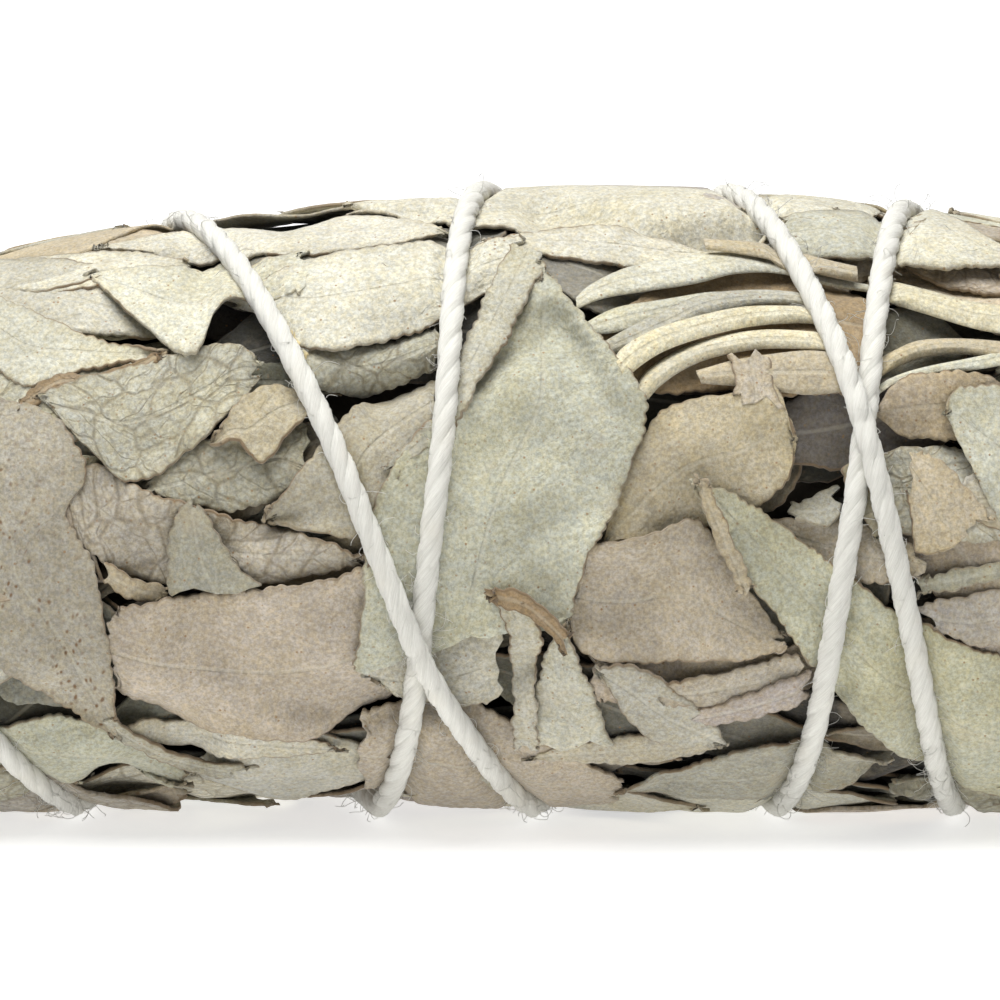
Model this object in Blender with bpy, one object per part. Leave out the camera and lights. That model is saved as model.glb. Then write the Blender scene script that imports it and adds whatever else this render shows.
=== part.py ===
"""A tied bunch of dried white sage, lying on its side.

The bunch runs along X, with its cut stems at +X and its leaf tips at -X, and rests on z = 0.
Seven leafy sprigs run through a mass of pressed leaves, and one cotton string is wound
round it to the tip end and back, crossing itself, and is knotted at the stem end.
All sizes are in millimetres and angles in degrees, until a mesh is made.
"""

import math

import bmesh
import bpy
import numpy as np
from mathutils import Vector

MM = 0.001

# The bunch is a barrel, thickest a little off its middle.
GIRTH = 19.7
BULGE_X = 5.0
TAPER = 3.86
TAPER_SPAN = 50.0
TIP_X = -47.0
BUTT_X = 47.0
FLAT = 0.8

# Leaves are packed thicker within this angle of the lowest line, where the ground presses them flat.
REST_BAND = 16.0
REST_FILL = 1.9

# Leaves are laid on a core that lies this far under the girth.
PACK_DEPTH = 3.3
LEAF_RISE = 0.6
BLADE = 0.8
END_LIFT = 1.6
CORE_SINK = 1.2
MARGIN_WAVE = 0.07
GRID_X = 0.5
GRID_ANGLE = 1.5
BED_END = 64.0

# The front is the side that faces -Y and a little up.
FRONT_TILT = 12.0

# The sprigs' stems run level, one in the middle and the rest in a ring round it.
STEM_HEIGHT = 15.2
STEM_RING = 8.0
STEM_THICK = 3.3
STEM_TIP_X = -49.0
STEM_ENDS = [57.0, 52.0, 55.5, 50.5, 54.0, 51.5, 56.0]
TUFT_ENDS = [-57.0, -55.5, -54.0, -56.5, -55.0, -56.0, -54.5]
TUFT_BLADES = 3
GAP = 0.3

# The string, as the x of its middle at each quarter turn. It starts at the back and goes over the top.
STRING_THICK = 1.8
STRING_SIDES = 6
STEPS_PER_QUARTER = 3
OVERRUN = 0.4
STRING_OUT = [43.5, 42.8, 42.0, 40.0, 34.0, 25.5, 21.4, 16.6, 8.0, -1.0, -3.9, -8.4, -21.0, -33.0, -36.5]
STRING_OUT += [-40.0, -42.5]
STRING_BACK = [-42.2, -43.0, -38.0, -25.3, -22.6, -20.0, -8.6, 3.1, 9.0, 14.3, 23.3, 28.8, 35.0, 41.5, 45.5]
STRING_BACK += [46.4, 46.2, 45.4]
STRING_LOWEST = 0.95
STRING_PRESS = 0.4
CROSSING_LIFT = 1.2
CROSSING_REACH = 2.6
KNOT = (44.6, 150.0)
KNOT_THICK = 4.2
TAILS = [[(44.8, 148.0), (40.5, 143.0), (36.0, 141.0), (32.0, 136.0)]]
TAILS += [[(44.2, 152.0), (42.0, 160.0), (37.5, 165.0), (34.5, 171.0)]]

LEAF_COLOUR = (0.56, 0.55, 0.46, 1.0)
STEM_COLOUR = (0.50, 0.42, 0.26, 1.0)
STRING_COLOUR = (0.86, 0.85, 0.80, 1.0)


def girth(x):
    """The bunch's radius at x, over its outermost leaves."""
    return GIRTH - TAPER * ((x - BULGE_X) / TAPER_SPAN) ** 2


def axis_height(x):
    """The height of the bunch's middle line, which keeps its underside straight."""
    return girth(x) - FLAT


def place(x, angle, radius):
    """The point at x, at an angle from the front over the top, and at a radius from the middle line."""
    turn = np.radians(angle)
    return np.stack(
        np.broadcast_arrays(x, -radius * np.cos(turn), axis_height(x) + radius * np.sin(turn)),
        axis=-1,
    )


class Leaf:
    """A leaf laid on the bunch, from its stalk end to its tip, as (x, angle) pairs."""

    def __init__(self, root, tip, left, right=None, belly=0.42, root_cut=2.0, tip_cut=1.8, **shape):
        self.root = root
        self.tip = tip
        self.left = left
        self.right = left if right is None else right
        self.belly = belly
        self.root_cut = root_cut
        self.tip_cut = tip_cut
        self.bend = shape.get("bend", 0.0)
        self.skew = shape.get("skew", 0.0)
        self.roll = shape.get("roll", 0.0)
        self.lift = shape.get("lift", 0.0)
        self.curl = shape.get("curl", 0.0)

    def half_width(self, u, side):
        """Half the leaf's width at a share u of its length. A high cut gives a blunt, torn end."""
        towards_root = np.clip((self.belly - u) / self.belly, 0.0, 1.0)
        towards_tip = np.clip((u - self.belly) / (1.0 - self.belly), 0.0, 1.0)
        full = (1.0 - towards_root**self.root_cut) * (1.0 - towards_tip**self.tip_cut)
        return np.where(side < 0, self.left, self.right) * np.maximum(full, 0.08)

    def length(self):
        rise = math.radians(self.tip[1] - self.root[1]) * GIRTH
        return math.hypot(self.tip[0] - self.root[0], rise)

    def spread(self, rows, columns):
        """(x, angle, u, side) of a grid of points over the leaf, pressed flat round the bunch."""
        u, side = np.meshgrid(np.linspace(0, 1, rows), np.linspace(-1, 1, columns), indexing="ij")
        middle_x = (self.root[0] + self.tip[0]) / 2
        per_degree = math.radians(1) * girth(middle_x)
        along = np.array([self.tip[0] - self.root[0], (self.tip[1] - self.root[1]) * per_degree])
        length = np.linalg.norm(along)
        heading = along / length
        across = np.array([heading[1], -heading[0]])
        out = side * self.half_width(u, side)
        ahead = u * length + self.skew * out * (2 * u - 1)
        out = out - self.bend * 4 * u * (1 - u)
        x = self.root[0] + heading[0] * ahead + across[0] * out
        angle = self.root[1] + (heading[1] * ahead + across[1] * out) / per_degree
        return x, angle, u, side


def seen(root, tip, left, right=None, **shape):
    """A leaf of the front, its ends given as (x, height over the middle line) as seen from there."""
    ends = [(x, FRONT_TILT + math.degrees(math.asin(v / girth(x)))) for x, v in (root, tip)]
    return Leaf(ends[0], ends[1], left, right, **shape)


def stalk(root, tip, thick, bend=0.0):
    """A leaf stalk or a rolled leaf of the front: a narrow, round-backed strip."""
    return seen(root, tip, thick / 2, bend=bend, roll=0.7 * thick, root_cut=9.0, tip_cut=9.0)


# The leaves of the front, the lowest first.
FRONT_LEAVES = [
    # Against the skyline.
    seen((-3.1, 17.0), (-25.0, 16.2), 2.8),
    seen((-35.0, 12.5), (-19.4, 14.5), 2.1, bend=-1.2),
    seen((36.0, 18.0), (28.2, 17.6), 3.0),
    seen((21.2, 18.2), (-9.4, 18.6), 4.8, tip_cut=3.0),
    seen((17.5, 15.2), (-1.2, 15.9), 2.4),
    seen((23.7, 18.5), (15.0, 18.6), 3.5),
    seen((23.1, 14.7), (18.1, 16.6), 2.2),
    seen((36.0, 14.4), (23.5, 15.2), 3.5, tip_cut=3.0),
    # Stalks that gather to the right.
    stalk((16.2, 14.4), (4.7, 12.7), 1.4, bend=-0.8),
    stalk((18.7, 12.8), (5.0, 11.2), 1.5, bend=-0.8),
    stalk((15.3, 12.6), (6.2, 10.0), 1.3, bend=-0.6),
    stalk((31.9, 11.1), (12.5, 15.0), 1.9, bend=0.8),
    stalk((31.2, 12.6), (22.8, 13.9), 1.7),
    stalk((31.2, 9.8), (8.7, 5.6), 2.3, bend=-2.0),
    stalk((20.9, 10.0), (7.8, 6.4), 1.5, bend=-1.0),
    stalk((20.9, 11.7), (6.7, 7.9), 1.7, bend=-1.3),
    stalk((31.2, 8.4), (23.0, 7.3), 1.5, bend=-0.6),
    # The left half.
    seen((-21.9, 0.3), (-10.3, 3.8), 2.8),
    stalk((-2.8, 10.6), (-13.1, 7.8), 2.8),
    seen((-33.0, -15.3), (-19.2, -16.2), 3.4),
    seen((-18.7, -17.6), (-6.2, -16.4), 4.0),
    seen((-23.4, -14.4), (-9.7, -15.3), 1.8),
    seen((-26.9, -0.4), (-7.9, -4.1), 2.4, 2.6, belly=0.3),
    seen((-36.9, 11.2), (-20.4, 8.9), 2.2, 3.0, curl=0.6),
    seen((-26.4, 3.8), (-14.2, 8.6), 2.6, 2.8, root_cut=5.0, tip_cut=6.0),
    seen((-17.4, 3.6), (-11.8, 5.8), 1.3, root_cut=8.0, tip_cut=8.0, curl=0.5),
    seen((-24.5, -9.2), (-3.8, -11.4), 4.2, 4.6, root_cut=5.0),
    seen((-17.1, -5.8), (-18.7, -0.2), 2.6, belly=0.06, root_cut=8.0, tip_cut=1.2),
    seen((1.9, 12.9), (-16.5, 12.8), 4.0, 3.6, tip_cut=5.0),
    seen((-11.9, 15.2), (-22.5, 11.2), 2.8, tip_cut=8.0, skew=0.5),
    # The right half.
    seen((31.9, 6.2), (22.8, 5.3), 2.2, tip_cut=5.0),
    seen((36.9, 0.9), (27.4, 5.6), 3.6, tip_cut=4.0),
    seen((35.6, -5.9), (25.3, -7.0), 2.2),
    seen((35.6, -3.4), (25.5, -5.2), 1.2),
    seen((26.9, -6.6), (15.1, -0.9), 2.4),
    seen((20.6, 0.3), (15.9, -0.4), 1.2, curl=0.5),
    seen((21.9, 2.8), (23.2, -2.7), 1.3, root_cut=6.0),
    seen((24.1, 3.8), (27.8, -3.4), 1.8, 2.2, root_cut=4.0, tip_cut=6.0, curl=0.5),
    # The middle.
    seen((-1.6, 6.6), (-13.4, -0.4), 3.4, 3.0, tip_cut=3.0),
    seen((6.2, -1.4), (17.9, 3.1), 3.2, 2.6, root_cut=4.0, tip_cut=3.0),
    seen((15.3, 4.1), (15.2, 8.7), 1.3, root_cut=8.0, tip_cut=8.0),
    seen((3.6, -6.1), (17.5, -8.4), 3.6, 2.8, root_cut=5.0, tip_cut=3.5),
    seen((-6.2, -13.8), (7.6, -18.2), 3.4),
    seen((24.0, -16.4), (7.5, -18.0), 3.2),
    seen((13.7, -15.0), (1.6, -15.8), 1.4),
    stalk((14.7, -15.3), (6.1, -10.2), 2.9, bend=0.8),
    seen((17.8, -9.4), (9.7, -11.6), 1.1),
    seen((19.0, -10.2), (11.8, -13.6), 1.7),
    seen((-8.9, -10.4), (0.8, -9.4), 2.0, 2.6, root_cut=3.0, tip_cut=5.0),
    seen((-2.8, -10.2), (3.5, 14.4), 6.0, 7.2, belly=0.45, root_cut=6.0, tip_cut=2.2),
    seen((-7.4, 0.4), (1.9, 15.6), 2.1, tip_cut=4.0),
    seen((4.9, -15.6), (2.7, -7.9), 2.6, root_cut=4.0),
    seen((1.0, -15.6), (0.0, -5.9), 1.2, bend=-0.5),
    seen((3.9, -9.4), (-1.0, -5.4), 0.7, bend=-0.5, lift=0.7),
    # The long leaf at the lower right, with its folded margin, and the big leaf at the left.
    seen((35.9, -15.4), (11.9, 1.2), 4.2, 3.6, belly=0.35, tip_cut=1.6),
    seen((18.7, -10.2), (11.7, 1.1), 0.6, bend=0.5, lift=0.3),
    seen((-38.0, 5.6), (-23.1, -14.8), 5.2, 3.6, belly=0.4),
    seen((-23.9, -13.9), (-15.5, -16.9), 0.7, lift=0.3),
]
FRONT_X = (-29.0, 31.0)
FRONT_ANGLES = (-60.0, 92.0)
SEED = 13


def in_front(x, angle):
    return FRONT_X[0] < x < FRONT_X[1] and FRONT_ANGLES[0] < (angle + 180) % 360 - 180 < FRONT_ANGLES[1]


def scattered_leaf(draw, x, angle, length, half_width):
    """A leaf of the kind the bunch is full of, with its middle near (x, angle), mostly along the bunch."""
    heading = math.radians(draw.normal(0.0, 24.0)) + math.pi * draw.integers(0, 2)
    reach_x = length / 2 * math.cos(heading)
    reach_angle = math.degrees(length / 2 * math.sin(heading) / girth(x))
    low, high = TIP_X + 0.5, BUTT_X + 2.0
    x = min(max(x, low + abs(reach_x)), high - abs(reach_x))
    return Leaf(
        (x - reach_x, angle - reach_angle),
        (x + reach_x, angle + reach_angle),
        half_width * draw.uniform(0.8, 1.2),
        half_width * draw.uniform(0.8, 1.2),
        belly=draw.uniform(0.3, 0.5),
        root_cut=draw.choice([2.0, 5.0]),
        tip_cut=draw.choice([1.6, 2.0, 4.0]),
        bend=draw.normal(0.0, 1.2),
        curl=draw.choice([0.0, 0.5]),
    )


def lower_leaves(draw, columns=5, rows=3):
    """The leaves that lie deep in the bunch and show only in its gaps."""
    leaves = []
    for row in range(rows):
        for column in range(columns):
            x = np.interp(row + draw.uniform(0.2, 0.8), (0, rows), (TIP_X, BUTT_X))
            angle = 360.0 * (column + draw.uniform(0.0, 1.0)) / columns
            leaves.append(scattered_leaf(draw, x, angle, draw.uniform(19, 26), draw.uniform(4, 6)))
    return leaves


def upper_leaves(draw, columns=7, rows=5):
    """The outer leaves of the back, the underside and both ends."""
    leaves = []
    for row in range(rows):
        for column in range(columns):
            x = np.interp(row + draw.uniform(0.1, 0.9), (0, rows), (TIP_X, BUTT_X))
            angle = 360.0 * (column + draw.uniform(0.0, 1.0)) / columns
            made = scattered_leaf(draw, x, angle, draw.uniform(16, 32), draw.uniform(2.4, 5.4))
            if not in_front(x, angle):
                leaves.append(made)
    draw.shuffle(leaves)
    return leaves


def end_leaves(draw, count=7):
    """Leaves whose tips close round the tip end, and cut leaf ends round the stems."""
    leaves = []
    for k in range(count):
        angle = 360.0 * (k + draw.uniform(0.0, 0.8)) / count
        turn = draw.normal(0.0, 8.0)
        tip_x = TIP_X - draw.uniform(1.5, 4.5)
        half_width = draw.uniform(3.4, 4.8)
        tip = (tip_x, angle + turn)
        leaves.append(Leaf((TIP_X + 14.0, angle), tip, half_width, tip_cut=1.7, lift=END_LIFT))
        angle = 360.0 * (k + draw.uniform(0.0, 0.8)) / count
        root_x = BUTT_X + draw.uniform(0.5, 3.5)
        root = (root_x, angle)
        tip = (BUTT_X - 16.0, angle + draw.normal(0.0, 8.0))
        leaves.append(Leaf(root, tip, draw.uniform(2.2, 4.0), root_cut=7.0))
    return leaves


class Bed:
    """How high the leaves laid so far stand over the core, on a grid over the bunch's side."""

    def __init__(self):
        self.rise = np.zeros((int(2 * BED_END / GRID_X), int(360 / GRID_ANGLE)))

    def cells(self, x, angle):
        row = np.clip(((x + BED_END) / GRID_X).astype(int), 0, self.rise.shape[0] - 1)
        return row, (angle / GRID_ANGLE).astype(int) % self.rise.shape[1]

    def lay(self, leaf, rows, columns, fine=8):
        """The leaf's rise at rows x columns points, clear of all that lies under it there."""
        fine_rows = fine * (rows - 1) + 1
        fine_columns = fine * (columns - 1) + 1
        x, angle, u, side = leaf.spread(fine_rows, fine_columns)
        under = self.rise[self.cells(x, angle)]
        rise = np.zeros((rows, columns))
        for row in range(rows):
            for column in range(columns):
                near_rows = slice(max(row * fine - fine // 2, 0), row * fine + fine // 2 + 1)
                near_columns = slice(max(column * fine - fine // 2, 0), column * fine + fine // 2 + 1)
                rise[row, column] = under[near_rows, near_columns].max()
        rise += LEAF_RISE + shaped(leaf, *np.meshgrid(
            np.linspace(0, 1, rows), np.linspace(-1, 1, columns), indexing="ij"
        ))
        laid = stretched(rise, fine)
        cells = self.cells(x, angle)
        np.maximum.at(self.rise, cells, laid)
        return rise


def stretched(values, fine):
    """A coarse grid of values, drawn out straight between its points to a grid `fine` times as dense."""
    rows, columns = values.shape
    across = np.linspace(0, columns - 1, fine * (columns - 1) + 1)
    wide = np.array([np.interp(across, range(columns), row) for row in values])
    down = np.linspace(0, rows - 1, fine * (rows - 1) + 1)
    return np.array([np.interp(down, range(rows), column) for column in wide.T]).T


def shaped(leaf, u, side):
    """What a leaf's own shape adds to its height: a rounded back, curled edges and a lifted tip."""
    return leaf.roll * (1 - side**2) + leaf.curl * side**2 * np.sin(np.pi * u) + leaf.lift * u**2


def slab(name, top, bottom):
    """A closed solid between two grids of points, each rows x columns x 3."""
    rows, columns = top.shape[:2]
    bm = bmesh.new()
    bmesh.ops.create_grid(bm, x_segments=columns - 1, y_segments=rows - 1, size=1)
    number = bm.verts.layers.int.new("number")
    for vert in bm.verts:
        vert[number] = vert.index
    lower = list(bm.verts)
    made = bmesh.ops.extrude_face_region(bm, geom=bm.faces[:], use_keep_orig=True)
    upper = [part for part in made["geom"] if isinstance(part, bmesh.types.BMVert)]
    for verts, points in ((lower, bottom), (upper, top)):
        flat = points.reshape(-1, 3) * MM
        for vert in verts:
            vert.co = flat[vert[number]]
    bmesh.ops.recalc_face_normals(bm, faces=bm.faces[:])
    return object_from(bm, name)


def object_from(bm, name):
    mesh = bpy.data.meshes.new(name)
    bm.to_mesh(mesh)
    bm.free()
    made = bpy.data.objects.new(name, mesh)
    bpy.context.scene.collection.objects.link(made)
    return made


def leaf_solid(leaf, bed, name):
    """A leaf that reaches down into the core, or a thin blade where it stands past the core's ends."""
    rows = 3 + int(leaf.length() / 8.0)
    columns = 3 if leaf.roll or leaf.left + leaf.right > 8.5 else 2
    x, angle, _, side = leaf.spread(rows, columns)
    top = core_radius(x) + bed.lay(leaf, rows, columns)
    under = np.abs((angle + 90 + 180) % 360 - 180) < REST_BAND
    top = top + REST_FILL * under
    notch = np.where(np.arange(rows) % 2, MARGIN_WAVE, -MARGIN_WAVE)[:, None] * side * leaf.left
    notch[[0, -1]] = 0
    angle = angle + np.degrees(notch / GIRTH)
    inside = (x > TIP_X + 1.0) & (x < BUTT_X - 1.0)
    bottom = np.where(inside, core_radius(x) - CORE_SINK, top - BLADE)
    return slab(name, place(x, angle, top), place(x, angle, bottom))


def core_radius(x):
    return girth(x) - PACK_DEPTH


def skin(name, rings):
    """A closed solid through rings of points, with a flat face over the first and the last."""
    bm = bmesh.new()
    made = [[bm.verts.new(point * MM) for point in ring] for ring in rings]
    bm.faces.new(made[0])
    bm.faces.new(made[-1])
    for near, far in zip(made, made[1:]):
        for k in range(len(near)):
            bm.faces.new((near[k], near[k - 1], far[k - 1], far[k]))
    bmesh.ops.recalc_face_normals(bm, faces=bm.faces[:])
    return object_from(bm, name)


def packed_core(name, sides=18, stations=6):
    """The pressed inner leaves, which the outer ones stand out of."""
    angles = np.arange(sides) * 360.0 / sides
    return skin(name, [place(x, angles, core_radius(x)) for x in np.linspace(TIP_X, BUTT_X, stations)])


def joined(name, base, others, operation="UNION", solver="MANIFOLD"):
    """The base with the others joined to it, or cut from it. The others are used up."""
    group = bpy.data.collections.new(name + "_operands")
    for other in others:
        group.objects.link(other)
    change = base.modifiers.new(name, "BOOLEAN")
    change.operation = operation
    change.operand_type = "COLLECTION"
    change.collection = group
    change.solver = solver
    graph = bpy.context.evaluated_depsgraph_get()
    mesh = bpy.data.meshes.new_from_object(base.evaluated_get(graph))
    base.modifiers.clear()
    base.data = mesh
    for other in others:
        bpy.data.objects.remove(other)
    bpy.data.collections.remove(group)
    base.name = name
    mesh.name = name
    return base


def finish_body(piece):
    """Keeps the largest of the bodies that the piece's mesh has come to hold, in triangles."""
    bm = bmesh.new()
    bm.from_mesh(piece.data)
    left = set(bm.faces)
    bodies = []
    while left:
        newest = {left.pop()}
        body = set(newest)
        while newest:
            newest = {face for old in newest for edge in old.edges for face in edge.link_faces} & left
            left -= newest
            body |= newest
        bodies.append(body)
    largest = max(bodies, key=len)
    bmesh.ops.delete(bm, geom=[face for face in bm.faces if face not in largest], context="FACES")
    bmesh.ops.triangulate(bm, faces=bm.faces[:])
    bm.to_mesh(piece.data)
    bm.free()


def string_route(stops, lift_over=None):
    """(x, angle, radius) along a pass of the string, which rides up over an earlier pass that it crosses."""
    quarters = np.arange(0, len(stops) - 1 + OVERRUN, 1 / STEPS_PER_QUARTER)
    x = np.array([smooth_between(stops, q) for q in quarters])
    angle = FRONT_TILT + 180.0 - 90.0 * quarters
    radius = girth(x) - STRING_PRESS
    if lift_over is not None:
        other_x, other_angle, _ = lift_over
        turn = (angle[:, None] - other_angle + 180.0) % 360.0 - 180.0
        apart = np.hypot(x[:, None] - other_x, np.radians(turn) * GIRTH).min(axis=1)
        lift = CROSSING_LIFT * np.exp(-((apart / CROSSING_REACH) ** 2))
        radius = radius + lift * np.minimum(1.0, 0.2 + quarters)
    return x, angle, radius


def smooth_between(stops, at):
    """A smooth curve's value between hand-set stops, at a whole or part number of steps along them."""
    k = min(int(at), len(stops) - 2)
    t = at - k
    before, start, end, after = (stops[min(max(j, 0), len(stops) - 1)] for j in (k - 1, k, k + 1, k + 2))
    slope_in, slope_out = (end - before) / 2, (after - start) / 2
    return (
        start * (2 * t**3 - 3 * t**2 + 1)
        + slope_in * (t**3 - 2 * t**2 + t)
        + end * (3 * t**2 - 2 * t**3)
        + slope_out * (t**3 - t**2)
    )


def cord(name, points, radius):
    """A tube with few sides along points, each ring square to the way between its neighbours."""
    points = np.array(points)
    points[:, 2] = np.maximum(points[:, 2], STRING_LOWEST)
    ways = np.gradient(points, axis=0)
    rings = []
    for point, way in zip(points, ways):
        out = Vector(point - np.array([point[0], 0.0, axis_height(point[0])]))
        way = Vector(way).normalized()
        out = (out - way * out.dot(way)).normalized()
        across = way.cross(out)
        turns = [2 * math.pi * k / STRING_SIDES for k in range(STRING_SIDES)]
        rings.append([point + np.array(radius * (math.cos(a) * out + math.sin(a) * across)) for a in turns])
    return skin(name, rings)


def string_pieces(grow=0.0):
    """The string's two passes, its knot and its two short tails, grown by a margin."""
    radius = STRING_THICK / 2 + grow
    out = string_route(STRING_OUT)
    back = string_route(STRING_BACK, lift_over=out)
    pieces = [cord("string_out", place(*out), radius), cord("string_back", place(*back), radius)]
    knot_x, knot_angle = KNOT
    knot = place(knot_x, knot_angle, girth(knot_x) + 0.9)
    for k, (along, around) in enumerate([(-0.9, 1.2), (0.9, -1.2)]):
        centre = place(knot_x + along, knot_angle + math.degrees(around / GIRTH), girth(knot_x) + 0.9)
        bm = bmesh.new()
        bmesh.ops.create_icosphere(bm, subdivisions=1, radius=KNOT_THICK * MM * 0.42 + grow * MM)
        bmesh.ops.translate(bm, verts=bm.verts, vec=centre * MM)
        pieces.append(object_from(bm, f"knot_{k}"))
    for k, tail in enumerate(TAILS):
        stops_x = [stop[0] for stop in tail]
        stops_angle = [stop[1] for stop in tail]
        steps = np.linspace(0, len(tail) - 1, 9)
        x = np.array([smooth_between(stops_x, at) for at in steps])
        angle = np.array([smooth_between(stops_angle, at) for at in steps])
        radius_out = girth(x) + 1.5 - 0.25 * steps
        pieces.append(cord(f"tail_{k}", place(x, angle, radius_out), radius))
    return pieces


def stem_places():
    """(y, z) of the stems: one in the middle, six in a ring."""
    ring = [math.radians(60.0 * k + 30.0) for k in range(6)]
    places = [(0.0, STEM_HEIGHT)]
    return places + [(STEM_RING * math.cos(a), STEM_HEIGHT + STEM_RING * math.sin(a)) for a in ring]


def rod(name, y, z, start, end, thick, sides=8):
    """A level, rounded-square rod."""
    turns = np.arange(sides) * 2 * math.pi / sides + math.pi / sides
    ring = thick / 2 * np.stack([0 * turns, np.cos(turns), np.sin(turns)], axis=-1)
    return skin(name, [ring + np.array([x, y, z]) for x in (start, end)])


def tuft_blade(name, y, z, turn, end, half_width, bow):
    """One of the small leaves that close round a sprig's tip."""
    start = STEM_TIP_X + 2.0
    u, side = np.meshgrid([0.0, 0.22, 0.6, 1.0], [-1.0, 0.0, 1.0], indexing="ij")
    sideways = side * half_width * np.interp(u, [0, 0.22, 0.6, 1], [0.4, 1.0, 0.8, 0.14])
    faces = []
    for depth in (0.0, 0.8):
        out = 0.9 + bow * np.interp(u, [0, 0.22, 0.6, 1], [0, 0.6, 1.0, 0.7]) - depth - 0.3 * side**2
        y_out = y + out * math.cos(turn) - sideways * math.sin(turn)
        z_out = z + out * math.sin(turn) + sideways * math.cos(turn)
        faces.append(np.stack([start + u * (end - start), y_out, z_out], axis=-1))
    return slab(name, *faces)


def sprig(number, y, z, draw):
    """One sprig: a woody stem cut square, and the small leaves at its tip."""
    name = f"sprig_{number}"
    stem = rod(name, y, z, STEM_TIP_X, STEM_ENDS[number - 1], STEM_THICK)
    tuft = []
    for k in range(TUFT_BLADES):
        turn = 2 * math.pi * (k + 0.3 * number + draw.uniform(-0.1, 0.1)) / TUFT_BLADES
        end = TUFT_ENDS[number - 1] + 2.0 * k
        half_width = draw.uniform(2.4, 3.0)
        bow = draw.uniform(1.2, 1.9)
        tuft.append(tuft_blade(f"{name}_blade_{k}", y, z, turn, end, half_width, bow))
    made = joined(name, stem, tuft)
    finish_body(made)
    return made


def floor_block():
    """Everything below the surface that the bunch lies on."""
    bm = bmesh.new()
    bmesh.ops.create_cube(bm, size=1)
    bmesh.ops.scale(bm, verts=bm.verts, vec=(0.2, 0.1, 0.02))
    bmesh.ops.translate(bm, verts=bm.verts, vec=(0, 0, -0.01))
    return object_from(bm, "floor_block")


def paint(piece, name, colour, roughness):
    material = bpy.data.materials.get(name) or bpy.data.materials.new(name)
    material.use_nodes = True
    surface = material.node_tree.nodes["Principled BSDF"]
    surface.inputs["Base Color"].default_value = colour
    surface.inputs["Roughness"].default_value = roughness
    surface.inputs["Metallic"].default_value = 0.0
    piece.data.materials.clear()
    piece.data.materials.append(material)


def make_packed_leaves(draw):
    bed = Bed()
    leaves = lower_leaves(draw) + upper_leaves(draw) + end_leaves(draw) + FRONT_LEAVES
    solids = [leaf_solid(leaf, bed, f"leaf_{k}") for k, leaf in enumerate(leaves)]
    bunch = joined("packed_leaves", packed_core("packed_core"), solids)
    holes = [
        rod(f"hole_{k}", y, z, TIP_X - 20, BUTT_X + 20, STEM_THICK + 2 * GAP)
        for k, (y, z) in enumerate(stem_places())
    ]
    bunch = joined("packed_leaves", bunch, [floor_block(), *holes, *string_pieces(GAP)], "DIFFERENCE")
    finish_body(bunch)
    return bunch


def make_string():
    first, *others = string_pieces()
    string = joined("string", first, others, solver="EXACT")
    finish_body(string)
    return string


def main():
    for old in list(bpy.data.objects):
        bpy.data.objects.remove(old)
    draw = np.random.default_rng(SEED)
    paint(make_packed_leaves(draw), "dried_leaf", LEAF_COLOUR, 0.9)
    for number, (y, z) in enumerate(stem_places(), start=1):
        paint(sprig(number, y, z, draw), "sprig", STEM_COLOUR, 0.8)
    paint(make_string(), "string", STRING_COLOUR, 0.95)


main()
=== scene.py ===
"""A tied bunch of dried white sage lying on a white table, seen from its long side and a little above."""

import math

import bmesh
import bpy
import numpy as np
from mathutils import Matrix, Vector


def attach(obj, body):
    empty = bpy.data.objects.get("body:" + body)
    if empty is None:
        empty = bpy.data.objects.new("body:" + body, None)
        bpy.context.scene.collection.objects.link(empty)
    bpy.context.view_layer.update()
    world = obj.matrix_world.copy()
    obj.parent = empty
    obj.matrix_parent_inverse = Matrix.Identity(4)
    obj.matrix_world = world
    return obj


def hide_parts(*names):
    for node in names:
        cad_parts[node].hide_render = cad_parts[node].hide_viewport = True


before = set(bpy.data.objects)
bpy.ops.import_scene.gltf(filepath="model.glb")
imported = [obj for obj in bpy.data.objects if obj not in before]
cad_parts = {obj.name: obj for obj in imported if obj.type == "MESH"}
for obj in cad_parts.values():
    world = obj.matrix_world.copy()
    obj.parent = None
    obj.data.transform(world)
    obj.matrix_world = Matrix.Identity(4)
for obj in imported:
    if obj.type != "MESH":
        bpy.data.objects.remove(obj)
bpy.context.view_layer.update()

# The camera looks along the table at the middle of the bunch, from a hand's height over it, with a
# long lens, so that the bunch's sides stay nearly parallel. The bunch runs out of the view at both sides.
MM = 0.001
VIEW_TILT = 12.0
VIEW_DISTANCE = 600.0
VIEW_WIDTH = 62.5
SENSOR = 36.0
VIEW_CENTRE_HEIGHT = 18.9

camera_data = bpy.data.cameras.new("camera")
camera = bpy.data.objects.new("camera", camera_data)
bpy.context.scene.collection.objects.link(camera)
bpy.context.scene.camera = camera
tilt = math.radians(VIEW_TILT)
away = Vector((0.0, -math.cos(tilt), math.sin(tilt)))
camera.location = (Vector((0.0, 0.0, VIEW_CENTRE_HEIGHT)) + away * VIEW_DISTANCE) * MM
camera.rotation_euler = away.to_track_quat("Z", "Y").to_euler()
camera_data.sensor_width = SENSOR
camera_data.lens = SENSOR * VIEW_DISTANCE / VIEW_WIDTH
camera_data.clip_start = 0.01
camera_data.clip_end = 10.0

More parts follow.
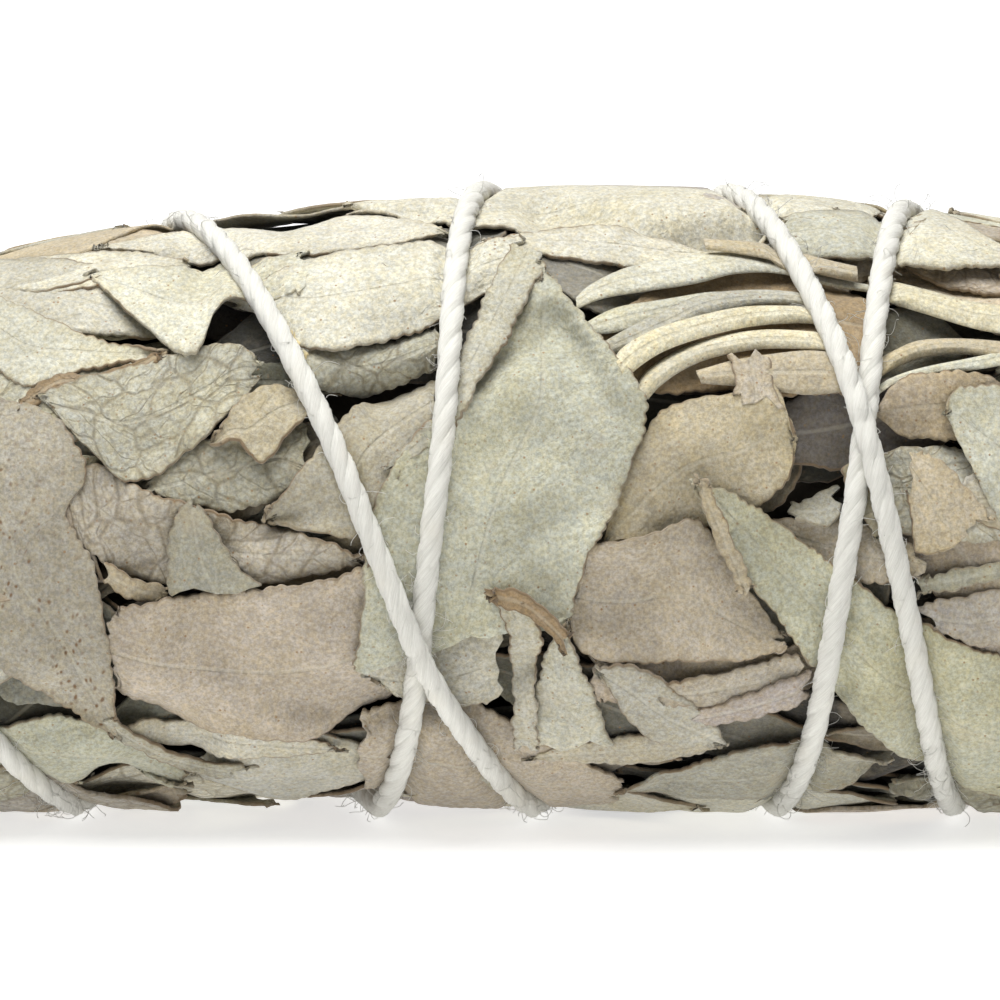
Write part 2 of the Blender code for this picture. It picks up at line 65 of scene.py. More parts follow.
# A plain white table top, which the bunch lies on. It is a large smooth sheet, so brightly lit that it
# runs into the white behind it.
TABLE_HALF_WIDTH = 3.0
table_mesh = bpy.data.meshes.new("table")
table_bm = bmesh.new()
bmesh.ops.create_grid(table_bm, x_segments=1, y_segments=1, size=TABLE_HALF_WIDTH)
table_bm.to_mesh(table_mesh)
table_bm.free()
table = bpy.data.objects.new("table", table_mesh)
bpy.context.scene.collection.objects.link(table)
table_paint = bpy.data.materials.new("white_table")
table_paint.use_nodes = True
table_surface = table_paint.node_tree.nodes["Principled BSDF"]
table_surface.inputs["Base Color"].default_value = (0.7, 0.7, 0.7, 1)
table_surface.inputs["Roughness"].default_value = 0.9
table_surface.inputs["Emission Color"].default_value = (1, 1, 1, 1)
table_surface.inputs["Emission Strength"].default_value = 0.6
table_mesh.materials.append(table_paint)

# The light is a big soft lamp over the bunch, a far weaker one from the front, and a little white
# all round.
ROOM_LIGHT = 0.17
LAMPS = {
    "overhead": {"place": (-60.0, -50.0, 420.0), "size": 420.0, "power": 3.02},
    "front": {"place": (120.0, -520.0, 260.0), "size": 300.0, "power": 0.04},
}
for lamp_name, lamp in LAMPS.items():
    light_data = bpy.data.lights.new(lamp_name, "AREA")
    light_data.shape = "DISK"
    light_data.size = lamp["size"] * MM
    light_data.energy = lamp["power"]
    light = bpy.data.objects.new(lamp_name, light_data)
    light.location = Vector(lamp["place"]) * MM
    light.rotation_euler = (Vector(lamp["place"]) * MM).to_track_quat("Z", "Y").to_euler()
    bpy.context.scene.collection.objects.link(light)
world = bpy.data.worlds.new("white_room")
world.use_nodes = True
world.node_tree.nodes["Background"].inputs["Color"].default_value = (1, 1, 1, 1)
world.node_tree.nodes["Background"].inputs["Strength"].default_value = ROOM_LIGHT
bpy.context.scene.world = world
bpy.context.scene.view_settings.view_transform = "Standard"

# The leaf mass. Over three hundred dried leaves are laid along the stems and pressed on each other by
# the string. Its body is a barrel that narrows to both ends, with its underside straight where it lies.
GIRTH = 19.7
BULGE_X = 5.0
TAPER = 3.86
TAPER_SPAN = 50.0
TIP_X = -47.0
BUTT_X = 47.0
FLAT = 0.8
CORE_DEPTH = 4.3


def girth(x):
    """The bunch's radius at x, over its outermost leaves, in millimetres."""
    return GIRTH - TAPER * ((x - BULGE_X) / TAPER_SPAN) ** 2


def axis_height(x):
    return girth(x) - FLAT


def core_radius(x):
    return girth(x) - CORE_DEPTH


def place(x, angle, radius):
    """The point at x, at an angle in degrees from the front over the top, and at a radius."""
    turn = np.radians(angle)
    parts = (x, -radius * np.cos(turn), axis_height(x) + radius * np.sin(turn))
    return np.stack(np.broadcast_arrays(*parts), axis=-1)


def seen_angle(x, height):
    """The angle of the point that the camera sees at x, at a height over the middle of its view."""
    sunk = (axis_height(x) - VIEW_CENTRE_HEIGHT) * math.cos(tilt)
    return VIEW_TILT + np.degrees(np.arcsin(np.clip((height - sunk) / girth(x), -0.999, 0.999)))


# One cotton string is wound to the tip end and back. These are the x of its middle at each quarter
# turn, from the back over the top. It is pulled tight, so the leaves under it are pressed in.
STRING_THICK = 1.8
STRING_PRESS = 0.4
STRING_LOWEST = 0.95
STRING_OUT = [43.5, 42.8, 42.0, 40.0, 34.0, 25.5, 21.4, 16.6, 8.0, -1.0, -3.9, -8.4, -21.0, -33.0, -36.5]
STRING_OUT += [-40.0, -42.5]
STRING_BACK = [-42.2, -43.0, -38.0, -25.3, -22.6, -20.0, -8.6, 3.1, 9.0, 14.3, 23.3, 28.8, 35.0, 41.5, 45.5]
STRING_BACK += [46.4, 46.2, 45.4]
STRING_STEPS = 90
OVERRUN = 0.4
CROSSING_LIFT = 1.2
CROSSING_REACH = 2.6


def between(stops, at):
    """A smooth curve's value between given stops, at numbers of steps along them."""
    stops = np.asarray(stops, float)
    k = np.clip(at.astype(int), 0, len(stops) - 2)
    t = at - k
    before, start, end, after = (stops[np.clip(k + j, 0, len(stops) - 1)] for j in (-1, 0, 1, 2))
    slope_in, slope_out = (end - before) / 2, (after - start) / 2
    rest = slope_in * (t**3 - 2 * t**2 + t) + slope_out * (t**3 - t**2)
    return start * (2 * t**3 - 3 * t**2 + 1) + end * (3 * t**2 - 2 * t**3) + rest


def string_route(stops, lift_over=None):
    """(x, angle, radius) along a pass of the string, which rides up over an earlier pass."""
    quarters = np.arange(0, len(stops) - 1 + OVERRUN, 1 / STRING_STEPS)
    x = between(stops, quarters)
    angle = VIEW_TILT + 180.0 - 90.0 * quarters
    radius = girth(x) - STRING_PRESS
    if lift_over is not None:
        other_x, other_angle = lift_over[0][::6], lift_over[1][::6]
        turn = (angle[:, None] - other_angle + 180.0) % 360.0 - 180.0
        apart = np.hypot(x[:, None] - other_x, np.radians(turn) * GIRTH).min(axis=1)
        lift = CROSSING_LIFT * np.exp(-((apart / CROSSING_REACH) ** 2))
        radius = radius + lift * np.minimum(1.0, 0.2 + quarters)
    return x, angle, radius


route_out = string_route(STRING_OUT)
route_back = string_route(STRING_BACK, lift_over=route_out)


# Each leaf lies on those laid before it. The bed keeps how high they stand over the core, cell by
# cell, and the string's ceiling is how high a leaf may stand near the string.
CELL_X = 0.25
CELL_ANGLE = 0.75
BED_END = 64.0
CROWN_ANGLE, CROWN_RISE, CROWN_REACH = 100.0, 1.5, 44.0
LAP_ANGLE, LAP_RISE, LAP_REACH = 306.0, 1.5, 30.0
RIM_X, RIM_RISE, RIM_REACH = 43.0, 1.6, 7.5
OPEN_CEILING = 30.0
STRING_DENT = 2.6
STRING_BED_GAP = 0.05
DENT_FLOOR = 0.7
DENT_SLOPE = 0.75
rise = np.zeros((int(2 * BED_END / CELL_X), int(360 / CELL_ANGLE)))
ceiling = np.full(rise.shape, OPEN_CEILING)
cell_x = (np.arange(rise.shape[0]) + 0.5) * CELL_X - BED_END
cell_angle = (np.arange(rise.shape[1]) + 0.5) * CELL_ANGLE
rise += CROWN_RISE * np.exp(-(((cell_angle - CROWN_ANGLE) / CROWN_REACH) ** 2))
rise += LAP_RISE * np.exp(-(((cell_angle - LAP_ANGLE) / LAP_REACH) ** 2))
rise += RIM_RISE * np.exp(-(((np.abs(cell_x) - RIM_X) / RIM_REACH) ** 2))[:, None]


def cells(x, angle):
    row = np.clip(((x + BED_END) / CELL_X).astype(int), 0, rise.shape[0] - 1)
    return row, (angle / CELL_ANGLE).astype(int) % rise.shape[1]


for route in (route_out, route_back):
    for x, angle, radius in list(zip(*route))[::3]:
        row, column = cells(np.array(x), np.array(angle))
        reach_x = int(STRING_DENT / CELL_X)
        reach_angle = int(math.degrees(STRING_DENT / GIRTH) / CELL_ANGLE)
        near_rows = np.arange(max(row - reach_x, 0), min(row + reach_x + 1, rise.shape[0]))
        near_columns = np.arange(column - reach_angle, column + reach_angle + 1)
        turn = (near_columns - column) * CELL_ANGLE
        apart = np.hypot((cell_x[near_rows] - x)[:, None], np.radians(turn)[None, :] * GIRTH)
        cap = radius - STRING_THICK / 2 + STRING_BED_GAP + DENT_SLOPE * np.maximum(apart - DENT_FLOOR, 0.0)
        cap = np.where(apart < STRING_DENT, cap, OPEN_CEILING)
        covered = np.ix_(near_rows, near_columns % rise.shape[1])
        ceiling[covered] = np.minimum(ceiling[covered], cap)


class Leaf:
    """A leaf of the usual outline, laid from its stalk end to its tip, given as (x, angle)."""

    def __init__(self, root, tip, left, right=None, belly=0.42, root_cut=2.0, tip_cut=1.8, **shape):
        self.root = root
        self.tip = tip
        self.left = left
        self.right = left if right is None else right
        self.belly = belly
        self.root_cut = root_cut
        self.tip_cut = tip_cut
        self.bend = shape.get("bend", 0.0)
        self.roll = shape.get("roll", 0.0)
        self.lift = shape.get("lift", 0.0)
        self.curl = shape.get("curl", 0.0)
        self.tone = shape.get("tone")
        self.veined = shape.get("veined", 0.0)
        self.even = shape.get("even", False)
        self.loose = shape.get("loose", 1.0)
        self.spots = shape.get("spots", 0.0)
        self.sighted = shape.get("sighted", False)

    def length(self):
        around = math.radians(self.tip[1] - self.root[1]) * GIRTH
        return math.hypot(self.tip[0] - self.root[0], around)

    def width(self):
        return self.left + self.right

    def half_width(self, u, side):
        """Half the leaf's width at a share u of its length. A high cut gives a blunt, torn end."""
        towards_root = np.clip((self.belly - u) / self.belly, 0.0, 1.0)
        towards_tip = np.clip((u - self.belly) / (1.0 - self.belly), 0.0, 1.0)
        full = (1.0 - towards_root**self.root_cut) * (1.0 - towards_tip**self.tip_cut)
        return np.where(side < 0, self.left, self.right) * np.maximum(full, 0.03)

    def spread(self, u, side, margin):
        """(x, angle, across) of the leaf's points, with its margin waved by so many millimetres."""
        per_degree = math.radians(1) * girth((self.root[0] + self.tip[0]) / 2)
        way = np.array([self.tip[0] - self.root[0], (self.tip[1] - self.root[1]) * per_degree])
        length = np.linalg.norm(way)
        ahead = way / length
        out = side * (self.half_width(u, side) + margin)
        bent = out - self.bend * 4 * u * (1 - u)
        x = self.root[0] + ahead[0] * u * length + ahead[1] * bent
        angle = self.root[1] + (ahead[1] * u * length - ahead[0] * bent) / per_degree
        return x, angle, out


class CutLeaf(Leaf):
    """A leaf whose two margins are given, from its stalk end, as (x, height) seen by the camera."""

    def __init__(self, one_margin, other_margin, **shape):
        self.margins = [np.array(one_margin, float), np.array(other_margin, float)]
        middle = (self.margins[0][[0, -1]] + self.margins[1][[0, -1]]) / 2
        ends = [(x, seen_angle(x, height)) for x, height in middle]
        one_middle, other_middle = (margin[len(margin) // 2] for margin in self.margins)
        gap = np.linalg.norm(one_middle - other_middle)
        super().__init__(ends[0], ends[1], gap / 2, **{"sighted": True, **shape})

    def spread(self, u, side, margin):
        edges = []
        for points in self.margins:
            steps = np.concatenate([[0], np.cumsum(np.linalg.norm(np.diff(points, axis=0), axis=1))])
            at = np.interp(u[:, 0], steps / steps[-1], np.arange(len(points)))
            x, height = between(points[:, 0], at), between(points[:, 1], at)
            edges.append(np.stack([x, np.radians(seen_angle(x, height)) * GIRTH], axis=-1))
        one, other = edges[0][:, None], edges[1][:, None]
        across = other - one
        wide = np.maximum(np.linalg.norm(across, axis=-1, keepdims=True), 0.05)
        flat = (one + other) / 2 + across / 2 * side[..., None]
        flat = flat + across / wide * (side * margin)[..., None]
        return flat[..., 0], np.degrees(flat[..., 1] / GIRTH), side * wide[..., 0] / 2


def seen(root, tip, left, right=None, **shape):
    """A leaf of the usual outline whose ends are given as (x, height) seen by the camera."""
    ends = [(x, seen_angle(x, height)) for x, height in (root, tip)]
    return Leaf(ends[0], ends[1], left, right, **{"sighted": -15.5 < root[1] < 17.2, **shape})


# Dried white sage is a felted grey-green that varies from leaf to leaf, with rosy, tan and violet leaves
# among the rest. The paler tones given to the leaves on top of the bunch are partly painted light from
# the lamp above. The tones are screen colours of 0 to 255.
TONES = {
    "pale": (191, 191, 179),
    "bright": (206, 205, 193),
    "grey": (183, 182, 172),
    "green": (178, 178, 163),
    "shade": (165, 164, 152),
    "taupe": (178, 173, 160),
    "dusky": (160, 155, 145),
    "rosy": (179, 170, 157),
    "tan": (186, 176, 156),
    "violet": (174, 168, 163),
    "brown": (150, 132, 108),
    "straw": (212, 207, 187),
    "olive": (196, 186, 156),
}
COMMON_TONES = "pale pale bright grey grey green shade taupe rosy tan violet".split()


def linear(tone):
    """A screen colour as the light that it stands for."""
    share = np.array(tone) / 255.0
    return np.where(share <= 0.04045, share / 12.92, ((share + 0.055) / 1.055) ** 2.4)


def highest_near(values, reach_rows, reach_columns):
    """Each value's highest neighbour within so many rows and columns."""
    for axis, reach in ((0, reach_rows), (1, reach_columns)):
        size = values.shape[axis]
        best = values
        for step in range(1, reach + 1):
            ahead = np.take(values, np.minimum(np.arange(size) + step, size - 1), axis=axis)
            behind = np.take(values, np.maximum(np.arange(size) - step, 0), axis=axis)
            best = np.maximum(best, np.maximum(ahead, behind))
        values = best
    return values


def smoothed(values, passes_rows, passes_columns):
    """The values averaged with their neighbours, so many times along each axis."""
    for axis, passes in ((0, passes_rows), (1, passes_columns)):
        size = values.shape[axis]
        ahead = np.minimum(np.arange(size) + 1, size - 1)
        behind = np.maximum(np.arange(size) - 1, 0)
        for _ in range(passes):
            values = (np.take(values, ahead, axis) + np.take(values, behind, axis) + 2 * values) / 4
    return values


LEAF_THICK = 0.22
LEAF_GAP = 0.05
FREE_RISE = 0.04
SIGHT_PASSES = 3
LAYERS_BELOW, LAYERS_ABOVE = 60, 40
PRESSED_FROM = 3.6
PRESSED_BY = 0.9
CRENEL = 0.8
CRENEL_DEPTH = 0.2
STIFF_ROWS = 1.1
SUPPORT_PASSES, EVEN_SUPPORT_PASSES = 6, 40
TURN_PASSES, EVEN_TURN_PASSES = 4, 60
LAYER_STEP = 0.012
laid_count = 0


def lay(leaf, draw, row_step=0.13, column_step=0.42, depth_shade=1.0):
    """Lays a leaf on the bed, and returns its upper face as a grid of points with its tone and place."""
    global laid_count
    laid_count += 1
    length = leaf.length()
    rows = max(10, int(length / row_step))
    columns = max(7, int(leaf.width() / column_step)) | 1
    fan = np.linspace(-1, 1, columns)
    side_line = 0.55 * fan + 0.45 * np.sin(fan * math.pi / 2)
    u, side = np.meshgrid(np.linspace(0, 1, rows), side_line, indexing="ij")
    phase = draw.uniform(0, 6.28, 8)
    along = u * length
    tooth = np.abs(np.sin(math.pi * along / CRENEL + phase[0] * np.sign(side) + 0.8 * np.sin(along)))
    tooth = tooth * (0.7 + 0.3 * np.sin(along * 0.9 + phase[4]))
    ragged = np.sin(along * 1.9 + phase[1] * np.sign(side)) * np.sin(along * 0.83 + phase[2])
    margin = CRENEL_DEPTH * (tooth - 0.5) + 0.14 * ragged
    if leaf.even:
        margin = 0.0 * margin
    x, angle, across = leaf.spread(u, side, margin)
    jag = 0.3 * np.sin(side * 4 + phase[3]) + 0.2 * np.sin(side * 11 + phase[4]) + 0.1 * np.sin(side * 23)
    jag = jag * (1 - leaf.even) * (np.exp(-((along / 0.9) ** 2)) + np.exp(-(((length - along) / 0.9) ** 2)))
    ahead_x, ahead_angle = np.gradient(x, axis=0), np.radians(np.gradient(angle, axis=0)) * GIRTH
    stride = np.maximum(np.hypot(ahead_x, ahead_angle), 1e-6)
    x = x + jag * ahead_x / stride
    angle = angle + np.degrees(jag * ahead_angle / stride / GIRTH)
    edge = np.abs(side) ** 5
    cupped, domed, tilted = draw.uniform(0.0, 0.45), draw.uniform(0.0, 0.35), draw.uniform(-0.45, 0.45)
    wave = 0.16 * np.sin(along / 2.1 + across * 0.7 + phase[5]) * np.sin(across / 1.7 + phase[6])
    wave += 0.10 * np.sin(along / 1.1 - across * 0.9 + phase[7]) * np.sin(along / 3.7)
    body = cupped * side**2 + domed * (1 - side**2) * np.sin(math.pi * u) + np.abs(tilted) + tilted * side
    body = body * leaf.loose * min(leaf.width() / 8, 1.0)
    shape = (wave + 0.16 + body) * (1 - leaf.even) + leaf.roll * (1 - side**2)
    shape = shape + leaf.curl * edge * (0.4 + 0.6 * np.sin(along / 3.0 + phase[2]) ** 2)
    shape = shape + leaf.lift * u**3
    step_rows = max(1, int(STIFF_ROWS / (length / rows)))
    step_columns = max(1, int(0.9 / max(leaf.width() / columns, 0.1)))
    aimed_angle = angle
    aimed_height = girth(x) * np.sin(np.radians(angle - VIEW_TILT))
    for attempt in range(SIGHT_PASSES if leaf.sighted else 1):
        under = rise[cells(x, angle)]
        passes = step_rows * (EVEN_SUPPORT_PASSES if leaf.even else SUPPORT_PASSES)
        support = smoothed(highest_near(under, step_rows, step_columns), passes, 3 * step_columns)
        top = (support if leaf.even else np.maximum(support, under)) + LEAF_THICK + LEAF_GAP + shape
        over = np.maximum(top - PRESSED_FROM, 0.0)
        top = np.minimum(top, PRESSED_FROM) + PRESSED_BY * (1 - np.exp(-over / PRESSED_BY))
        if leaf.sighted and attempt < SIGHT_PASSES - 1:
            reach = core_radius(x) + top
            share = np.clip(aimed_height / reach, -0.93, 0.93)
            turn = np.arcsin(share) - np.arcsin(np.clip(share * reach / girth(x), -0.95, 0.95))
            turn = smoothed(turn, EVEN_TURN_PASSES if leaf.even else TURN_PASSES, 2)
            angle = aimed_angle + np.degrees(turn)
    layers_left = max(LAYERS_BELOW - laid_count, -LAYERS_ABOVE)
    cap = ceiling[cells(x, angle)] - core_radius(x) - LAYER_STEP * layers_left
    top = np.where(top > cap, cap + FREE_RISE * (top - cap), top)
    top = smoothed(top, 1, 1)
    np.maximum.at(rise, cells(x, angle), top)
    points = place(x, angle, core_radius(x) + top)
    points[..., 2] = np.maximum(points[..., 2], LEAF_THICK + 0.08 + 0.1 * edge)
    tone_name = leaf.tone or draw.choice(COMMON_TONES)
    # A deep leaf's tone is darkened by depth_shade: painted shade.
    tone = linear(TONES[tone_name]) * draw.uniform(0.94, 1.06) * draw.uniform(0.985, 1.015, 3) * depth_shade
    half = np.maximum(np.abs(across[:, :1]), np.abs(across[:, -1:]))
    margin_distance = np.maximum(half - np.abs(across), 0.0)
    if leaf.roll:
        margin_distance = margin_distance + 1.0
    seed = draw.uniform(0, 100)
    return {
        "points": points,
        "leaf_place": np.stack([along + 0 * across, across, margin_distance], axis=-1),
        "leaf_tone": np.broadcast_to([*tone, 1.0], (*x.shape, 4)),
        "leaf_veined": np.broadcast_to(leaf.veined, x.shape),
        "leaf_spots": np.broadcast_to(leaf.spots, x.shape),
        "leaf_seed": np.broadcast_to(seed, x.shape),
    }


def sheets_piece(name, grids, thickness=LEAF_THICK, closed_tubes=False):
    """One piece made of grids of points, each a sheet with its outer face up, or a tube."""
    bm = bmesh.new()
    blanks = {}
    for grid in grids:
        rows, columns = grid["points"].shape[:2]
        if (rows, columns) not in blanks:
            sheet = bmesh.new()
            bmesh.ops.create_grid(sheet, x_segments=columns - 1, y_segments=rows - 1, size=1)
            blanks[rows, columns] = bpy.data.meshes.new("blank")
            sheet.to_mesh(blanks[rows, columns])
            sheet.free()
        bm.from_mesh(blanks[rows, columns])
    for blank in blanks.values():
        bpy.data.meshes.remove(blank)
    mesh = bpy.data.meshes.new(name)
    bm.to_mesh(mesh)
    bm.free()
    mesh.vertices.foreach_set("co", np.concatenate([g["points"].reshape(-1) for g in grids]) * MM)
    kinds = {3: ("FLOAT_VECTOR", "vector"), 4: ("FLOAT_COLOR", "color"), 1: ("FLOAT", "value")}
    for label in [key for key in grids[0] if key != "points"]:
        size = grids[0][label].size // (grids[0]["points"].size // 3)
        kind, field = kinds[size]
        values = np.concatenate([np.ascontiguousarray(g[label]).reshape(-1) for g in grids])
        mesh.attributes.new(label, kind, "POINT").data.foreach_set(field, values.astype(np.float32))
    if closed_tubes:
        bm = bmesh.new()
        bm.from_mesh(mesh)
        bmesh.ops.remove_doubles(bm, verts=bm.verts, dist=1e-6)
        bmesh.ops.holes_fill(bm, edges=[edge for edge in bm.edges if edge.is_boundary], sides=40)
        bmesh.ops.recalc_face_normals(bm, faces=bm.faces[:])
        bm.to_mesh(mesh)
        bm.free()
    mesh.update()
    mesh.shade_smooth()
    piece = bpy.data.objects.new(name, mesh)
    bpy.context.scene.collection.objects.link(piece)
    if thickness:
        wall = piece.modifiers.new("leaf_thickness", "SOLIDIFY")
        wall.thickness = thickness * MM
        wall.offset = -1.0
    return piece


def face_out(grid):
    """The grid turned so that its faces look away from the bunch's middle line."""
    points = grid["points"]
    rows, columns = points.shape[0] // 2, points.shape[1] // 2
    corner = points[rows, columns]
    right = points[rows, columns + 1] - corner
    ahead = points[rows + 1, columns] - corner
    middle = np.array([corner[0], 0.0, axis_height(corner[0])])
    if np.dot(np.cross(right, ahead), corner - middle) < 0:
        return {key: values[:, ::-1] for key, values in grid.items()}
    return grid


def add(tree, kind, inputs=None, **settings):
    """A node of the tree, with its settings, and its inputs set to values or linked to sockets."""
    made = tree.nodes.new("ShaderNode" + kind)
    for key, value in settings.items():
        setattr(made, key, value)
    for key, value in (inputs or {}).items():
        if isinstance(value, bpy.types.NodeSocket):
            tree.links.new(value, made.inputs[key])
        else:
            made.inputs[key].default_value = value
    return made


def mix(tree, share, one, other, blend="MIX"):
    """A colour between two, or one laid on the other."""
    made = add(tree, "Mix", data_type="RGBA", blend_type=blend, clamp_factor=True)
    for index, value in ((0, share), (6, one), (7, other)):
        if isinstance(value, bpy.types.NodeSocket):
            tree.links.new(value, made.inputs[index])
        else:
            made.inputs[index].default_value = value
    return made.outputs[2]


def math_node(tree, operation, one, other=0.0):
    return add(tree, "Math", {0: one, 1: other}, operation=operation).outputs[0]


def noise(tree, at, scale, detail=2.0, roughness=0.5):
    """A cloudy pattern of so many cells to the unit, with finer ones in it."""
    inputs = {"Vector": at, "Scale": scale, "Detail": detail, "Roughness": roughness}
    return add(tree, "TexNoise", inputs).outputs[0]


def times(tree, one, other):
    return math_node(tree, "MULTIPLY", one, other)


def plus(tree, one, other):
    return math_node(tree, "ADD", one, other)


def new_paint(name):
    """A material and its tree of nodes."""
    made = bpy.data.materials.new(name)
    made.use_nodes = True
    return made, made.node_tree


def finish_surface(tree, colour, bump, settings):
    """The material's surface, with its colour, its relief and its plain settings."""
    surface = tree.nodes["Principled BSDF"]
    tree.links.new(colour, surface.inputs["Base Color"])
    tree.links.new(bump.outputs[0], surface.inputs["Normal"])
    for socket_name, value in settings.items():
        surface.inputs[socket_name].default_value = value


def ramp(tree, value, low, high, to_low=0.0, to_high=1.0):
    """The value drawn out from one range to another, and held at its ends."""
    inputs = {0: value, 1: low, 2: high, 3: to_low, 4: to_high}
    return add(tree, "MapRange", inputs, interpolation_type="SMOOTHSTEP").outputs[0]


# The felt is a nap of fine white hairs over the whole leaf, stalk and stem, with specks of ochre
# resin and dust caught in it. Its grain is a fifth of a millimetre and finer.
felt = bpy.data.node_groups.new("felted_specks", "ShaderNodeTree")
for socket_name, kind in (("Light", "Float"), ("Warm", "Float"), ("Speck", "Float"), ("Height", "Float")):
    felt.interface.new_socket(socket_name, in_out="OUTPUT", socket_type="NodeSocket" + kind)
felt_out = felt.nodes.new("NodeGroupOutput")
where = add(felt, "TexCoord").outputs["Object"]
nap = noise(felt, where, 4200.0, 4.0, 0.75)
cloud = noise(felt, where, 900.0, 4.0, 0.65)
mottle = noise(felt, where, 170.0, 2.0)
warm = noise(felt, where, 2600.0, 3.0, 0.7)
all_light = ramp(felt, nap, 0.32, 0.68, 0.74, 1.18)
for patches in (mottle, cloud):
    all_light = times(felt, all_light, ramp(felt, patches, 0.3, 0.7, 0.90, 1.07))
specks = []
for scale, near, far, pick in ((3400.0, 0.16, 0.34, 0.80), (1100.0, 0.06, 0.13, 0.86)):
    dust = add(felt, "TexVoronoi", {"Vector": where, "Scale": scale, "Randomness": 1.0})
    chosen = add(felt, "SeparateColor", {"Color": dust.outputs["Color"]}).outputs[0]
    dot = ramp(felt, dust.outputs["Distance"], near, far, 1.0, 0.0)
    specks.append(times(felt, dot, ramp(felt, chosen, pick, pick + 0.1)))
dusty = ramp(felt, cloud, 0.40, 0.62, 0.15, 1.0)
speck = math_node(felt, "MAXIMUM", times(felt, specks[0], dusty), specks[1])
felt_height = plus(felt, nap, times(felt, speck, 0.3))
for socket_name, value in (("Light", all_light), ("Warm", warm), ("Speck", speck), ("Height", felt_height)):
    felt.links.new(value, felt_out.inputs[socket_name])

# A leaf's own pattern: a midrib, side veins that leave it at a slant, and between them a net of
# fine veins that stands out on the underside. The margin dries to a thin brown line.
leaf_paint, tree = new_paint("sage_leaf")
place_on_leaf = add(tree, "Attribute", attribute_name="leaf_place").outputs["Vector"]
tone_of_leaf = add(tree, "Attribute", attribute_name="leaf_tone").outputs["Color"]
veined = add(tree, "Attribute", attribute_name="leaf_veined").outputs["Fac"]
leaf_seed = add(tree, "Attribute", attribute_name="leaf_seed").outputs["Fac"]
parts = add(tree, "SeparateXYZ", {"Vector": place_on_leaf})
along_leaf, across_leaf, to_margin = parts.outputs
from_rib = math_node(tree, "ABSOLUTE", across_leaf)
flat_place = add(tree, "CombineXYZ", {"X": along_leaf, "Y": across_leaf, "Z": leaf_seed}).outputs[0]
wander = add(tree, "TexNoise", {"Vector": flat_place, "Scale": 0.55, "Detail": 1.0})
wander_by = {0: wander.outputs["Color"], "Scale": 0.9}
wander_by = add(tree, "VectorMath", wander_by, operation="SCALE").outputs[0]
on_leaf = add(tree, "VectorMath", {0: flat_place, 1: wander_by}, operation="ADD").outputs[0]
rib = ramp(tree, from_rib, 0.05, 0.2, 1.0, 0.0)
slant = math_node(tree, "SUBTRACT", along_leaf, times(tree, from_rib, 1.1))
slant = plus(tree, slant, times(tree, wander.outputs[0], 3.0))
slant_share = math_node(tree, "FRACT", math_node(tree, "DIVIDE", slant, 2.7))
slant_off = math_node(tree, "ABSOLUTE", math_node(tree, "SUBTRACT", slant_share, 0.5))
side_vein = ramp(tree, slant_off, 0.01, 0.06, 1.0, 0.0)
net_small = add(tree, "TexVoronoi", {"Vector": on_leaf, "Scale": 1.15}, feature="DISTANCE_TO_EDGE")
net_large = add(tree, "TexVoronoi", {"Vector": on_leaf, "Scale": 0.42}, feature="DISTANCE_TO_EDGE")
net = times(tree, ramp(tree, net_small.outputs[0], 0.0, 0.16, 1.0, 0.0), 0.45)
net = math_node(tree, "MAXIMUM", net, ramp(tree, net_large.outputs[0], 0.0, 0.085, 1.0, 0.0))
net = math_node(tree, "MAXIMUM", net, times(tree, side_vein, 0.8))
felt_node = add(tree, "Group", node_tree=felt)
lit = add(tree, "VectorMath", {0: tone_of_leaf, "Scale": felt_node.outputs["Light"]}, operation="SCALE")
warm = ramp(tree, felt_node.outputs["Warm"], 0.35, 0.65)
colour = mix(tree, warm, lit.outputs[0], (1.0, 0.94, 0.80, 1), "MULTIPLY")
dark_net = times(tree, net, ramp(tree, veined, 0.0, 1.0, 0.07, 0.62))
colour = mix(tree, dark_net, colour, (0.42, 0.37, 0.29, 1), "MULTIPLY")
colour = mix(tree, times(tree, rib, 0.2), colour, (0.55, 0.52, 0.42, 1))
stain = noise(tree, on_leaf, 0.3, 4.0, 0.65)
faded = noise(tree, flat_place, 0.13, 3.0, 0.6)
colour = mix(tree, ramp(tree, faded, 0.45, 0.70, 0.0, 0.7), colour, (0.98, 0.94, 0.80, 1), "MULTIPLY")
colour = mix(tree, ramp(tree, stain, 0.55, 0.75, 0.0, 0.3), colour, (0.47, 0.39, 0.26, 1))
near_margin = ramp(tree, to_margin, 0.0, 0.9, 0.25, 0.0)
colour = mix(tree, near_margin, colour, (0.62, 0.54, 0.38, 1), "MULTIPLY")
dry_edge = noise(tree, flat_place, 0.16, 2.0)
dry_share = ramp(tree, dry_edge, 0.38, 0.62, 0.25, 0.9)
margin_share = times(tree, ramp(tree, to_margin, 0.02, 0.16, 1.0, 0.0), dry_share)
colour = mix(tree, margin_share, colour, (0.20, 0.14, 0.08, 1))
speck_share = times(tree, felt_node.outputs["Speck"], 0.85)
colour = mix(tree, speck_share, colour, (0.27, 0.16, 0.07, 1))
spotted = add(tree, "Attribute", attribute_name="leaf_spots").outputs["Fac"]
spot = add(tree, "TexVoronoi", {"Vector": on_leaf, "Scale": 1.7}).outputs["Distance"]
spot_share = times(tree, ramp(tree, spot, 0.04, 0.36, 1.0, 0.0), spotted)
spot_share = times(tree, spot_share, ramp(tree, from_rib, 0.8, 3.2, 0.9, 0.25))
spot_share = times(tree, spot_share, ramp(tree, stain, 0.38, 0.50))
colour = mix(tree, spot_share, colour, (0.17, 0.10, 0.05, 1))
height = times(tree, felt_node.outputs["Height"], 0.05)
height = plus(tree, height, times(tree, rib, -0.05))
net_height = times(tree, net, ramp(tree, veined, 0.0, 1.0, -0.02, -0.055))
height = plus(tree, height, net_height)
pucker = noise(tree, on_leaf, 1.1, 4.0, 0.6)
height = plus(tree, height, times(tree, pucker, 0.19))
bump = add(tree, "Bump", {"Height": height, "Distance": MM, "Strength": 1.0})
